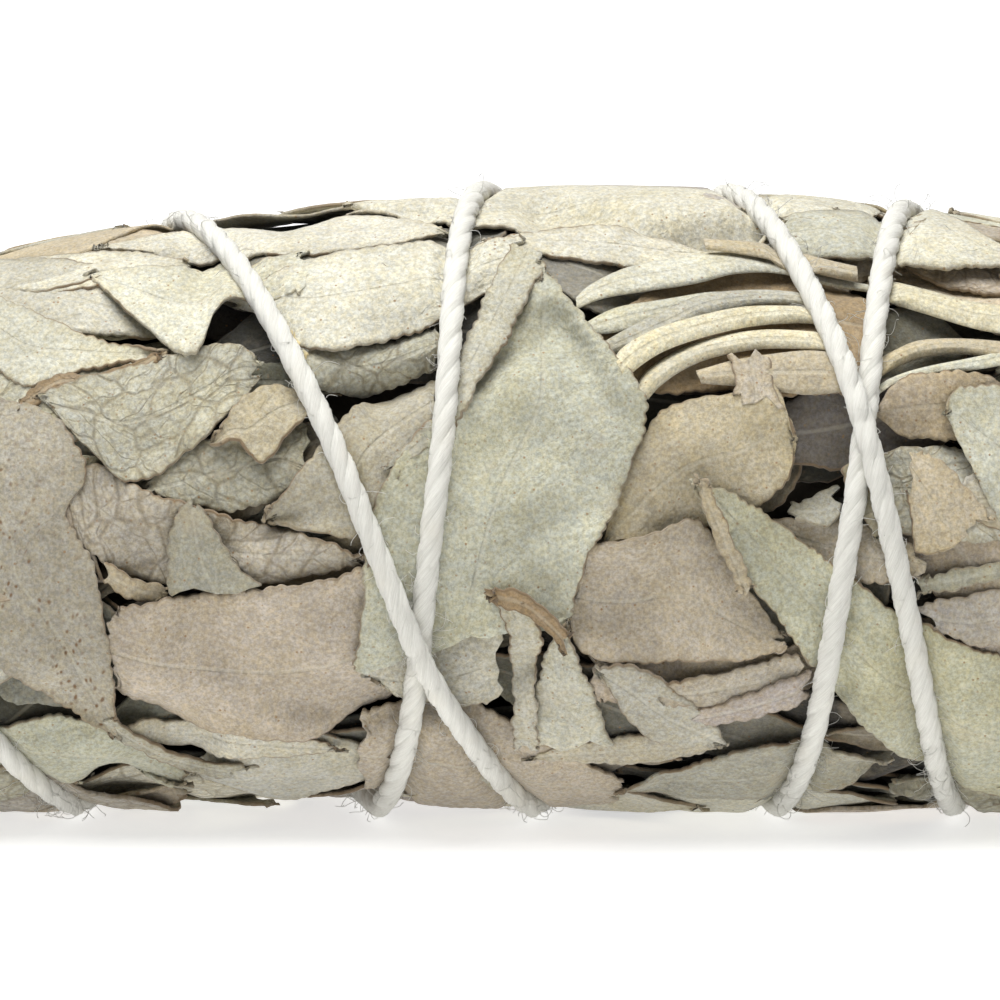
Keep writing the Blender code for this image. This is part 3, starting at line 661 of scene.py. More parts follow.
felted = {"Roughness": 0.9, "Specular IOR Level": 0.2, "Sheen Weight": 0.15, "Sheen Roughness": 0.6}
finish_surface(tree, colour, bump, felted)


def finish_leaf_piece(piece, material=leaf_paint):
    """The leaf mass's pieces all ride with the bunch and stand for its packed leaves."""
    piece.data.materials.append(material)
    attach(piece, "root")
    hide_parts("packed_leaves")


# The crushed inner leaves, which show only at the bottom of the gaps. They are pressed into one lumpy body
# round the stems, painted nearly black: painted shade for the dark deep in the gaps.
CORE_ROWS = 240
CORE_SIDES = 180
core_x = np.linspace(TIP_X, BUTT_X, CORE_ROWS)[:, None]
core_angle = np.linspace(0, 360, CORE_SIDES + 1)[None, :]
lumps = 0.35 * np.sin(core_x * 0.9 + 3 * np.sin(np.radians(core_angle * 7)))
lumps = lumps * np.sin(np.radians(core_angle * 11))
lumps = lumps + 0.25 * np.sin(core_x * 0.31) * np.sin(np.radians(core_angle * 23))
core_points = place(core_x + 0 * core_angle, core_angle + 0 * core_x, core_radius(core_x) - 0.3 + lumps)
core = sheets_piece("crushed_core", [{"points": core_points}], thickness=0, closed_tubes=True)
core_shade_paint, tree = new_paint("painted_gap_shade")
core_where = add(tree, "TexCoord").outputs["Object"]
core_noise = noise(tree, core_where, 420.0, 5.0)
# Painted shade: the core's colour is near black, standing for the dark deep in the gaps.
core_shade_colour = mix(tree, ramp(tree, core_noise, 0.35, 0.65), (0.02, 0.016, 0.011, 1), (0.07, 0.058, 0.04, 1))
core_bump = add(tree, "Bump", {"Height": core_noise, "Distance": 0.6 * MM, "Strength": 1.0})
finish_surface(tree, core_shade_colour, core_bump, {"Roughness": 0.95})
finish_leaf_piece(core, core_shade_paint)

# The leaves that lie deep in the bunch, then the outer leaves of its back and underside, and last those
# that close round both ends. They lie as they fell, most of them along the stems, held by the string.
SEED = 13
OUTER_PIECES = 3
TIP_END_LEAVES = 12
RIM_LEAVES = 16
# The leaves deep in the bunch and those of the middle layer are painted darker by these shares: painted
# shade.
INNER_SHADE, HIDDEN_SHADE = 0.16, 0.4
COARSEST, COARSE, OUTER_STEPS = (0.5, 0.9), (0.3, 0.6), (0.32, 0.8)
FRONT_X = (-29.0, 31.0)
FRONT_ANGLES = (-60.0, 92.0)


def in_front(x, angle):
    return FRONT_X[0] < x < FRONT_X[1] and FRONT_ANGLES[0] < (angle + 180) % 360 - 180 < FRONT_ANGLES[1]


def scattered_leaf(draw, x, angle, length, half_width):
    """A leaf of the kind the bunch is full of, with its middle near (x, angle), mostly along it."""
    heading = math.radians(draw.normal(0.0, 24.0)) + math.pi * draw.integers(0, 2)
    reach_x = length / 2 * math.cos(heading)
    reach_angle = math.degrees(length / 2 * math.sin(heading) / girth(x))
    low, high = TIP_X + 0.5, BUTT_X + 2.0
    x = min(max(x, low + abs(reach_x)), high - abs(reach_x))
    return Leaf(
        (x - reach_x, angle - reach_angle),
        (x + reach_x, angle + reach_angle),
        half_width * draw.uniform(0.8, 1.2),
        half_width * draw.uniform(0.8, 1.2),
        belly=draw.uniform(0.3, 0.5),
        root_cut=draw.choice([2.0, 5.0]),
        tip_cut=draw.choice([1.6, 2.0, 4.0]),
        bend=draw.normal(0.0, 1.2),
        curl=draw.choice([0.0, 0.5]),
        loose=0.55,
    )


def scattered(draw, columns, rows, length, half_width, front=True):
    """Leaves strewn evenly over the bunch, each moved a little from its place in a grid."""
    leaves = []
    for row in range(rows):
        for column in range(columns):
            x = np.interp(row + draw.uniform(0.1, 0.9), (0, rows), (TIP_X, BUTT_X))
            angle = 360.0 * (column + draw.uniform(0.0, 1.0)) / columns
            made = scattered_leaf(draw, x, angle, draw.uniform(*length), draw.uniform(*half_width))
            if front or not in_front(x, angle):
                leaves.append(made)
    draw.shuffle(leaves)
    return leaves


draw = np.random.default_rng(SEED)
inner_layer = scattered(draw, 11, 9, (17, 26), (3, 5.5))
inner = [face_out(lay(leaf, draw, *COARSEST, INNER_SHADE)) for leaf in inner_layer]
finish_leaf_piece(sheets_piece("inner_leaves", inner))

hidden = [leaf for leaf in scattered(draw, 11, 12, (10, 20), (2.2, 4.2)) if in_front(*leaf.tip)]
hidden_grids = [face_out(lay(leaf, draw, *COARSE, HIDDEN_SHADE)) for leaf in hidden]
finish_leaf_piece(sheets_piece("middle_layer_leaves", hidden_grids))

outer = []
for leaf in scattered(draw, 13, 10, (16, 32), (2.6, 5.6), front=False):
    leaf.veined = draw.choice([0.0, 0.0, 1.0])
    outer.append(face_out(lay(leaf, draw, *OUTER_STEPS)))
for k in range(TIP_END_LEAVES):
    angle = 360.0 * (k + draw.uniform(0.0, 0.8)) / TIP_END_LEAVES
    tip = (TIP_X - draw.uniform(1.5, 4.5), angle + draw.normal(0.0, 8.0))
    made = Leaf((TIP_X + 14.0, angle), tip, draw.uniform(3.2, 4.6), tip_cut=1.7, lift=1.6)
    outer.append(face_out(lay(made, draw, *COARSE)))
    angle = 360.0 * (k + draw.uniform(0.0, 0.8)) / TIP_END_LEAVES
    root = (BUTT_X + draw.uniform(0.5, 3.0), angle)
    tip = (BUTT_X - 16.0, angle + draw.normal(0.0, 8.0))
    made = Leaf(root, tip, draw.uniform(2.2, 4.0), root_cut=7.0)
    outer.append(face_out(lay(made, draw, *COARSE)))
draw_rim = np.random.default_rng(SEED + 1)
for k in range(RIM_LEAVES):
    angle = 360.0 * (k + draw_rim.uniform(0.0, 0.8)) / RIM_LEAVES
    root = (BUTT_X + draw_rim.uniform(0.5, 2.8), angle)
    tip = (BUTT_X - draw_rim.uniform(9.0, 16.0), angle + draw_rim.normal(0.0, 10.0))
    made = Leaf(root, tip, draw_rim.uniform(2.6, 4.4), root_cut=7.0)
    outer.append(face_out(lay(made, draw_rim, *COARSE)))
for k in range(OUTER_PIECES):
    finish_leaf_piece(sheets_piece(f"outer_leaves_{k + 1}", outer[k::OUTER_PIECES]))

# The leaves of the front, the lowest first. Most have kept the outline of a whole or torn leaf. Each
# is held down by the leaves laid after it, or by the string.
FRONT_LEAVES = [
    # Against the skyline.
    seen((-3.1, 16.6), (-25.0, 15.6), 2.8, tone="bright", loose=0.2),
    seen((-35.0, 13.5), (-19.4, 15.0), 2.1, bend=-1.2, tone="bright", loose=0.3),
    seen((40.0, 18.6), (24.5, 18.3), 3.4, tone="pale", loose=0.5),
    seen((38.0, 18.9), (28.2, 17.9), 2.6, tone="bright", lift=0.6),
    seen((21.2, 18.0), (-9.4, 18.4), 4.6, tip_cut=3.0, tone="bright", loose=0.2),
    seen((17.5, 15.2), (-1.2, 15.9), 2.4, tone="bright", loose=0.4),
    seen((23.7, 18.3), (15.0, 18.4), 3.3, tone="bright", loose=0.3),
    seen((23.1, 14.7), (18.1, 16.6), 2.2, tone="rosy"),
    CutLeaf(
        [(17.4, 17.7), (21.0, 18.0), (24.6, 17.6)],
        [(17.8, 15.6), (21.0, 14.9), (24.8, 15.2)],
        tone="pale", loose=0.3,
    ),
    CutLeaf(
        [(36, 14.6), (31.3, 15.6), (28.1, 17.7), (25.3, 18.6), (23.8, 16.2)],
        [(36, 13.6), (31.3, 14.3), (28.8, 14.4), (26.3, 14.3), (23.8, 14.8)],
        tone="bright",
    ),
]
STALKS = [
    # The first leaf lies under the stalks; its dark brown, seen in the gaps between them, is painted shade.
    CutLeaf(
        [(5.6, 10), (9.4, 13.3), (13.8, 15.2), (18.8, 15.2), (23, 13.6)],
        [(7.5, 6.2), (11.2, 6.6), (16.2, 6.4), (20.6, 6.4), (23, 6.7)],
        tone="brown", loose=0.3,
    ),
    CutLeaf(
        [(4.6, 12.3), (5.6, 13.2), (7.9, 14.3), (10.9, 14.9), (13.8, 15.2), (16.9, 14.7), (20, 13.9),
         (22.9, 13.4)],
        [(4.7, 11.6), (6.2, 12.3), (8.8, 12.8), (11.9, 13.3), (14.4, 13.9), (17.2, 13.9), (20, 13.3),
         (22.9, 12.9)],
        tone="bright", roll=0.3, even=True,
    ),
    CutLeaf(
        [(5.2, 10.8), (6.9, 11.7), (9.4, 12.3), (12.5, 13.1), (14.7, 13.1)],
        [(5.5, 10), (7.5, 10.3), (9.7, 10.9), (12.5, 11.9), (14.7, 12.6)],
        tone="pale", roll=0.3, even=True,
    ),
    CutLeaf(
        [(6.1, 9.6), (8.1, 10.7), (10.3, 11.7), (12.5, 12.6), (16.2, 12.9), (19.2, 12.6)],
        [(6.6, 8.7), (8.8, 9.4), (10.9, 10.4), (12.8, 11.3), (16.2, 11.9), (19.2, 11.8)],
        tone="grey", roll=0.5, even=True,
    ),
    CutLeaf(
        [(11.9, 7.9), (14.1, 8.5), (16.6, 8.9), (18.8, 9.1), (21.1, 8.9)],
        [(12.2, 7.1), (14.4, 6.9), (16.6, 6.6), (18.8, 6.4), (21.1, 6.6)],
        tone="tan", roll=0.8, even=True,
    ),
    CutLeaf(
        [(8.2, 6.8), (8.9, 7.9), (10.5, 9), (12.8, 9.9), (16.2, 10.4), (20.1, 10.2)],
        [(9, 6.1), (9.7, 6.9), (11.1, 7.9), (13.1, 8.7), (16.2, 9.2), (20.1, 9.1)],
        tone="straw", roll=1, even=True,
    ),
    CutLeaf(
        [(6.9, 8.6), (7.6, 9.4), (9.4, 10.4), (11.9, 11.2), (15, 11.9), (18.1, 12.1), (19.7, 11.9)],
        [(7.6, 7.3), (8.6, 8.2), (10.1, 9.1), (12.4, 9.9), (15.3, 10.6), (18.1, 10.9), (19.7, 10.8)],
        tone="straw", roll=1.1, even=True,
    ),
    CutLeaf(
        [(22.6, 13.9), (24.4, 13.4), (26.2, 12.9), (28.8, 12.2), (31.2, 11.9), (33.1, 12)],
        [(22.9, 12.6), (24.4, 11.9), (26.2, 11.3), (28.8, 10.5), (31.2, 10.1), (33.1, 9.9)],
        tone="straw", roll=1.2, even=True,
    ),
    CutLeaf(
        [(12.5, 16.1), (16.2, 15.8), (19.7, 14.9), (21.9, 14.4)],
        [(12.6, 15.4), (16.2, 14.8), (19.7, 13.8), (21.9, 13.4)],
        tone="tan", roll=0.7, even=True,
    ),
    CutLeaf(
        [(22.5, 8.3), (24.1, 9.2), (25.6, 9.8), (28.1, 9.9), (31.2, 9.6), (33.1, 9.3)],
        [(22.8, 7.3), (24.4, 8.2), (25.9, 8.7), (28.1, 8.9), (31.2, 8.4), (33.1, 8.2)],
        tone="tan", roll=0.9, even=True,
    ),
    CutLeaf(
        [(22.6, 6.9), (24.4, 7.7), (26.2, 8.2), (28.8, 8.7), (31.2, 9.2), (33.1, 9.6)],
        [(22.9, 6.5), (24.5, 7.1), (26.4, 7.6), (28.8, 7.9), (31.2, 8.3), (33.1, 8.6)],
        tone="bright", roll=0.6, even=True,
    ),
]
LEFT_LEAVES = [
    CutLeaf(
        [(-36, 12.8), (-31.3, 14.6), (-27.5, 15.2), (-22, 15.3), (-19.2, 14.7)],
        [(-36, 11.6), (-31.3, 13.0), (-28.5, 12.8), (-24, 13.8), (-19.4, 14.4)],
        tone="bright", curl=0.5,
    ),
    CutLeaf(
        [(-21.9, 0.8), (-17.2, 4.1), (-12.2, 5.0)],
        [(-21.2, 0.3), (-16.2, -0.6), (-11.2, 0.9)],
        tone="shade", veined=1.0,
    ),
    CutLeaf(
        [(-12.5, 10.4), (-9.7, 9.7), (-6.9, 9.8), (-3.8, 10.9)],
        [(-12.3, 7.7), (-10.6, 6.7), (-7.8, 6.7), (-3.6, 8.1)],
        tone="green", veined=0.9, roll=0.9, loose=0.3,
    ),
    seen((-33.0, -15.3), (-19.2, -16.2), 3.4, tone="green"),
    seen((-18.7, -17.6), (-6.2, -16.4), 4.0, tone="grey"),
    seen((-23.4, -14.4), (-9.7, -15.3), 1.8, tone="pale"),
    CutLeaf(
        [(-26.2, 1.2), (-24.5, 2.2), (-21.2, 0.5), (-16.2, -1.1), (-11.2, -2.2), (-8.4, -3.6)],
        [(-26.2, 0.3), (-25.3, -2.8), (-21.9, -4.8), (-16.9, -5.2), (-12.5, -4.9), (-8.4, -3.9)],
        tone="taupe", veined=0.9,
    ),
    CutLeaf(
        [(-35, 13.2), (-31.3, 12.7), (-27.5, 11.1), (-24.0, 9.7), (-20.5, 9.0)],
        [(-35, 8.2), (-31.3, 8.4), (-29.0, 6.9), (-25.6, 7.9), (-20.8, 8.7)],
        tone="pale", curl=0.6,
    ),
    CutLeaf(
        [(-28.4, 6.3), (-25.0, 7.6), (-20.3, 8.7), (-16.5, 9.7), (-14.9, 8.7)],
        [(-27.5, 5.8), (-25.3, 3.4), (-22.5, 1.1), (-18.7, 3.1), (-14.6, 7.3)],
        tone="grey", veined=0.9,
    ),
    CutLeaf(
        [(-29.3, 6.0), (-27.0, 7.7), (-24.4, 7.7), (-20.6, 9.1)],
        [(-28.9, 5.4), (-26.8, 6.7), (-24.2, 7.0), (-20.4, 8.7)],
        tone="brown", lift=0.3,
    ),
    CutLeaf(
        [(-17.4, 3.6), (-16.5, 5.1), (-15.3, 6.6), (-13.4, 7), (-11.4, 6.3)],
        [(-17.1, 3.3), (-15.8, 3.7), (-14.5, 2.3), (-13, 3.9), (-11, 5.7)],
        tone="taupe", curl=0.4,
    ),
    CutLeaf(
        [(-23.9, -3.8), (-22.2, -4.7), (-20.1, -5.4)],
        [(-23.8, -5.2), (-22.2, -6.1), (-20.5, -6.3)],
        tone="tan",
    ),
    CutLeaf(
        [(-23.8, -6.7), (-18.7, -5.8), (-13.1, -5.3), (-8.2, -4.2)],
        [(-23.6, -11.6), (-20.0, -13.6), (-14.4, -14.7), (-9.4, -14.4), (-5.9, -12.7)],
        tone="rosy",
    ),
    CutLeaf(
        [(-20.1, -5.8), (-20.1, -3.4), (-19.8, -1.1), (-19.0, -0.1)],
        [(-14.4, -5.3), (-16.1, -3.8), (-17.1, -1.9), (-18.2, -0.3)],
        tone="shade",
    ),
    CutLeaf(
        [(1.2, 16.2), (-4.4, 15.9), (-10.0, 15.2), (-14.7, 13.8), (-16.5, 12.7)],
        [(0.8, 13.7), (-3.1, 11.2), (-6.9, 9.7), (-11.2, 9.2), (-13.4, 10.6), (-16.4, 11.7)],
        tone="bright",
    ),
    CutLeaf(
        [(-11.9, 15.4), (-16.6, 14.6), (-21.9, 14.4), (-25.2, 14.0)],
        [(-11.9, 12.8), (-16.7, 12.3), (-19.2, 8.9), (-25.0, 13.7)],
        tone="bright",
    ),
    CutLeaf(
        [(-14.2, 11.1), (-13.6, 10), (-12.7, 8.6), (-12.2, 7.6)],
        [(-13.6, 11.2), (-12.6, 10.4), (-11.9, 9.2), (-11.8, 7.8)],
        tone="olive", roll=0.4,
    ),
]
RIGHT_LEAVES = [
    seen((31.9, 6.2), (22.8, 5.3), 2.2, tip_cut=5.0, tone="tan"),
    CutLeaf(
        [(36.0, 7.1), (31.3, 6.9), (27.8, 6.8), (27.1, 5.3)],
        [(36.0, -3.4), (31.3, -2.7), (28.8, 1.6), (27.1, 5.0)],
        tone="pale",
    ),
    CutLeaf(
        [(25.3, -6.4), (28.1, -5.9), (31.3, -5.0), (34, -4.7)],
        [(26.6, -7.9), (28.8, -8.9), (31.3, -8.8), (34, -8.4)],
        tone="violet",
    ),
    CutLeaf(
        [(25.3, -4.7), (28.1, -4.2), (31.3, -3.6), (34, -3.2)],
        [(25.5, -5.7), (28.1, -5.3), (31.3, -4.7), (34, -4.4)],
        tone="shade",
    ),
    CutLeaf(
        [(15.3, -1.2), (20.6, -1.2), (25.3, -2.7)],
        [(16.6, -2.2), (21.2, -5.0), (25.7, -4.8)],
        tone="rosy",
    ),
    CutLeaf(
        [(17.5, -0.3), (18.8, 0.3), (20.3, 0.9)],
        [(18.1, -1.2), (19.7, -1.6), (20.6, -0.9)],
        tone="grey",
    ),
    seen((21.9, 2.8), (23.2, -2.7), 1.3, root_cut=6.0, tone="shade"),
    CutLeaf(
        [(25.2, 3.3), (27.5, 1.6), (29.7, -0.9)],
        [(24.7, 0.3), (25.3, -3.1), (27.2, -2.9)],
        tone="tan", curl=0.5,
    ),
]
MIDDLE_LEAVES = [
    CutLeaf(
        [(5.5, -9.1), (10, -9.2), (15, -9.1), (19.5, -8.6)],
        [(5.8, -12.2), (10, -12.7), (15, -12.6), (19.5, -11.6)],
        tone="rosy",
    ),
    CutLeaf(
        [(-3.8, 8.1), (-8.1, 6.3), (-11.9, 2.2), (-14.2, -1.1)],
        [(-3.8, 4.1), (-7.2, 0.3), (-8.8, -2.2), (-14.1, -1.3)],
        tone="taupe",
    ),
    CutLeaf(
        [(6.1, -2.6), (8.2, 3.1), (10.3, 5.8), (13.7, 6.4), (16.6, 7.1), (17.7, 4.1)],
        [(6.2, -2.7), (9.4, -2.2), (12.5, -1.7), (15.9, -0.3), (17.5, 1.6), (17.8, 3.1)],
        tone="tan",
    ),
    CutLeaf(
        [(13.9, 6.4), (14.2, 7.5), (13.9, 8.7)],
        [(17.2, 5.6), (16.6, 7.5), (16.4, 8.8)],
        tone="rosy",
    ),
    CutLeaf(
        [(4.9, -4.7), (5.6, -2.7), (8.8, -2.2), (12.2, -1.4), (15.0, -5.3), (17.2, -8.4)],
        [(4.1, -7.3), (5.0, -9.4), (7.5, -9.9), (11.3, -9.9), (15.0, -9.7), (17.1, -9.1)],
        tone="rosy",
    ),
    CutLeaf(
        [(-8.6, -13.0), (-5.4, -12.2), (-2.4, -12.0), (1.3, -14.0), (7.5, -17.4)],
        [(-8.4, -17.8), (-4.4, -18.9), (1.3, -19.2), (6.9, -18.8)],
        tone="rosy",
    ),
    seen((24.0, -16.4), (7.5, -18.0), 3.2, tone="shade"),
    seen((13.7, -15.0), (1.6, -15.8), 1.4, tone="taupe"),
    CutLeaf(
        [(5.9, -10.2), (8.8, -10.4), (11.9, -12.5), (13.6, -14.6)],
        [(6.3, -10.9), (7.8, -13.4), (10.0, -15.0), (13.4, -15.2)],
        tone="grey", curl=0.5,
    ),
    CutLeaf(
        [(9.7, -11.4), (13.8, -10.4), (18.1, -9.4)],
        [(10.0, -12.5), (13.8, -12.5), (18.4, -11.6)],
        tone="taupe",
    ),
    CutLeaf(
        [(11.9, -12.9), (15.0, -11.9), (18.7, -10.6)],
        [(12.2, -13.8), (15.3, -13.4), (18.7, -12.5)],
        tone="violet",
    ),
    CutLeaf(
        [(-8.6, -10.4), (-4.4, -8.8), (0.2, -7.2)],
        [(-7.5, -11.0), (-4.4, -13.2), (-0.3, -12.2)],
        tone="grey",
    ),
    CutLeaf(
        [(-8.8, -10.4), (-8.3, -5.3), (-7.5, 0.3), (-3.8, 5.3), (0.0, 10.3), (2.5, 13.7)],
        [(4.1, -7.3), (5.6, -3.1), (7.9, 1.6), (8.8, 6.3), (6.3, 9.7), (3.0, 13.9)],
        tone="pale",
    ),
    CutLeaf(
        [(-7.1, 2.1), (-4.3, 5.0), (-1.9, 10.3), (0.7, 15.9)],
        [(-6.2, 1.7), (-2.8, 4.7), (0.3, 9.7), (2.9, 14.6)],
        tone="grey", lift=0.2,
    ),
    CutLeaf(
        [(2.1, -15.2), (2.1, -12.2), (2.8, -9.1), (3.9, -7.7)],
        [(7.0, -15.0), (6.2, -13.1), (5.0, -10.3), (4.1, -7.7)],
        tone="pale",
    ),
    CutLeaf(
        [(0.9, -15.2), (0.7, -11.6), (0.5, -8.1), (-0.8, -5.7)],
        [(2.4, -15.2), (2.1, -11.6), (2.5, -8.4), (1.3, -5.9)],
        tone="grey",
    ),
    CutLeaf(
        [(4.2, -8.1), (1.6, -5.8), (-0.9, -5.4)],
        [(3.8, -9.1), (1.9, -7.3), (-0.6, -6.1)],
        tone="brown", lift=0.5, curl=0.5,
    ),
]
LARGE_LEAVES = [
    CutLeaf(
        [(35, -11.6), (31.3, -9.9), (25.0, -7.3), (18.7, -2.7), (14.7, 0.1), (12.0, 1.1)],
        [(35, -19.0), (31.3, -18.4), (26.9, -17.1), (21.9, -13.6), (18.1, -9.1), (13.4, -2.5), (11.9, 0.9)],
        tone="green",
    ),
    CutLeaf(
        [(14.7, -5.9), (12.8, -1.9), (11.8, 1.1)],
        [(15.3, -5.3), (13.9, -1.6), (12.3, 1.2)],
        tone="tan", lift=0.3,
    ),
    CutLeaf(
        [(-36, 6.9), (-31.3, 6.4), (-26.9, 5.0), (-25.1, 1.6), (-26.2, -0.9), (-24.3, -5.3), (-23.3, -14.4)],
        [(-37, 4.0), (-36, -3.4), (-31.3, -9.4), (-27.5, -12.2), (-23.5, -14.6)],
        tone="dusky", spots=1.3,
    ),
    CutLeaf(
        [(-24.1, -13.1), (-20.0, -15.6), (-15.3, -16.4)],
        [(-23.9, -14.4), (-20.6, -16.2), (-17.2, -17.2)],
        tone="shade", lift=0.3,
    ),
]
groups = {
    "skyline_leaves": FRONT_LEAVES,
    "leaf_stalks": STALKS,
    "left_leaves": LEFT_LEAVES,
    "right_leaves": RIGHT_LEAVES,
    "middle_leaves": MIDDLE_LEAVES,
    "large_leaves": LARGE_LEAVES,
}
for group_name, members in groups.items():
    finish_leaf_piece(sheets_piece(group_name, [face_out(lay(leaf, draw)) for leaf in members]))

# The sprigs. Each is a square woody stem, cut off at the butt, with small leaves at its tip that
# stand in a tuft. One stem runs in the middle and six in a ring round it, held by the leaves.
STEM_HEIGHT = 15.2
STEM_RING = 8.0
STEM_THICK = 3.3
STEM_TIP_X = -49.0
STEM_STATIONS = 60
STEM_SIDES = 32
RING_STEMS = 6
TUFT_LEAVES = 6
STEM_ENDS = [57.0, 52.0, 55.5, 50.5, 54.0, 51.5, 56.0]
TUFT_ENDS = [-57.0, -55.5, -54.0, -56.5, -55.0, -56.0, -54.5]
stem_paint, tree = new_paint("sage_stem")
stem_place = add(tree, "Attribute", attribute_name="stem_place").outputs["Vector"]
stem_parts = add(tree, "SeparateXYZ", {"Vector": stem_place})
stem_where = add(tree, "TexCoord").outputs["Object"]
stretch = add(tree, "Mapping", {"Vector": stem_where, "Scale": (60, 1800, 1800)})
grain = noise(tree, stretch.outputs[0], 1.0, 4.0)
bark = mix(tree, ramp(tree, grain, 0.3, 0.7), (0.24, 0.17, 0.08, 1), (0.55, 0.47, 0.30, 1))
rind = ramp(tree, stem_parts.outputs[1], 0.30, 0.42)
pith = mix(tree, rind, (0.72, 0.66, 0.50, 1), (0.45, 0.35, 0.18, 1))
stem_colour = mix(tree, stem_parts.outputs[2], bark, pith)
stem_bump = add(tree, "Bump", {"Height": grain, "Distance": 0.15 * MM, "Strength": 0.9})
finish_surface(tree, stem_colour, stem_bump, {"Roughness": 0.85})


def stem_grid(y, z, end, draw):
    """A ridged stem with its cut face, as one grid from its hidden end to the middle of the cut."""
    turns = np.linspace(0, 2 * math.pi, STEM_SIDES + 1)
    cut_rings = [0.94, 0.75, 0.5, 0.3, 0.15, 0.0]
    stations = np.linspace(STEM_TIP_X, end - 0.12, STEM_STATIONS)
    stations = np.concatenate([stations, [end] * len(cut_rings)])
    radius = np.concatenate([np.full(STEM_STATIONS, 1.0), cut_rings]) * STEM_THICK / 2
    square = 1 - 0.07 * np.cos(4 * turns) - 0.02 * np.cos(12 * turns)
    wobble = 1 + 0.03 * np.sin(stations * 0.7 + draw.uniform(0, 6))
    shape = (radius * wobble)[:, None] * square[None, :]
    chip = 0.12 * np.sin(turns * 3 + draw.uniform(0, 6)) * (stations > end - 0.2)[:, None]
    x = stations[:, None] + chip * (radius[:, None] / STEM_THICK * 2) + 0 * turns
    points = np.stack([x, y + shape * np.cos(turns), z + shape * np.sin(turns)], axis=-1)
    cut = (stations >= end)[:, None] + 0 * turns
    share = (radius / STEM_THICK * 2)[:, None] + 0 * turns
    return {"points": points, "stem_place": np.stack([x, share, cut], axis=-1)}


TIP_WIDTHS = [0.4, 1.0, 0.85, 0.5, 0.04]
CUT_WIDTHS = [0.9, 1.0, 1.0, 0.95, 0.85]
BLADE_ROWS, BLADE_COLUMNS = 34, 9
BLADE_OUT = 0.9
LOWEST_BLADE = 0.3


def blade_grid(y, z, turn, ends, half_width, bow, draw, widths, shade=1.0):
    """A small leaf that runs along the bunch at (y, z), its face turned outwards."""
    start, end = ends
    u, side = np.linspace(0, 1, BLADE_ROWS), np.linspace(-1, 1, BLADE_COLUMNS)
    u, side = np.meshgrid(u, side, indexing="ij")
    along = u * abs(start - end)
    tooth = 0.05 * np.abs(np.sin(np.pi * along / CRENEL))
    width = smoothed(np.interp(u, [0, 0.22, 0.6, 0.85, 1], widths), 3, 0)
    sideways = side * (half_width * width + tooth)
    arch = smoothed(np.interp(u, [0, 0.22, 0.6, 1], [0, 0.6, 1.0, 0.7]), 6, 0)
    phase = draw.uniform(0, 6)
    out = BLADE_OUT + bow * arch - 0.3 * side**2 + 0.08 * np.sin(u * 9 + turn)
    out = out + 0.12 * np.sin(side * 4 + phase)
    y_out = y + out * math.cos(turn) - sideways * math.sin(turn)
    z_out = np.maximum(z + out * math.sin(turn) + sideways * math.cos(turn), LOWEST_BLADE)
    points = np.stack([start + u * (end - start), y_out, z_out], axis=-1)
    tone = linear(TONES[draw.choice(COMMON_TONES)]) * shade
    return {
        "points": points[:, ::-1] if end < start else points,
        "leaf_place": np.stack([along, sideways, (1 - np.abs(side)) * half_width * width], axis=-1),
        "leaf_tone": np.broadcast_to([*tone, 1.0], (*u.shape, 4)),
        "leaf_veined": np.broadcast_to(0.4, u.shape),
        "leaf_spots": np.broadcast_to(0.0, u.shape),
        "leaf_seed": np.broadcast_to(draw.uniform(0, 100), u.shape),
    }


stem_places = [(0.0, STEM_HEIGHT)]
for k in range(RING_STEMS):
    turn = math.radians(60.0 * k + 30.0)
    stem_places.append((STEM_RING * math.cos(turn), STEM_HEIGHT + STEM_RING * math.sin(turn)))
for number, (y, z) in enumerate(stem_places, start=1):
    skin = stem_grid(y, z, STEM_ENDS[number - 1], draw)
    stem = sheets_piece(f"stem_{number}", [skin], 0, closed_tubes=True)
    stem.data.materials.append(stem_paint)
    blades = []
    for k in range(TUFT_LEAVES):
        turn = 2 * math.pi * (k + 0.3 * number + draw.uniform(-0.1, 0.1)) / TUFT_LEAVES
        end = TUFT_ENDS[number - 1] + 0.9 * k
        ends = (STEM_TIP_X + 2.0, end)
        wide, bow = draw.uniform(2.2, 2.8), draw.uniform(0.9, 1.9)
        blades.append(blade_grid(y, z, turn, ends, wide, bow, draw, TIP_WIDTHS))
    tuft = sheets_piece(f"tuft_{number}", blades, 0.3)
    tuft.data.materials.append(leaf_paint)
    for piece in (stem, tuft):
        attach(piece, "root")
        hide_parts(f"sprig_{number}")

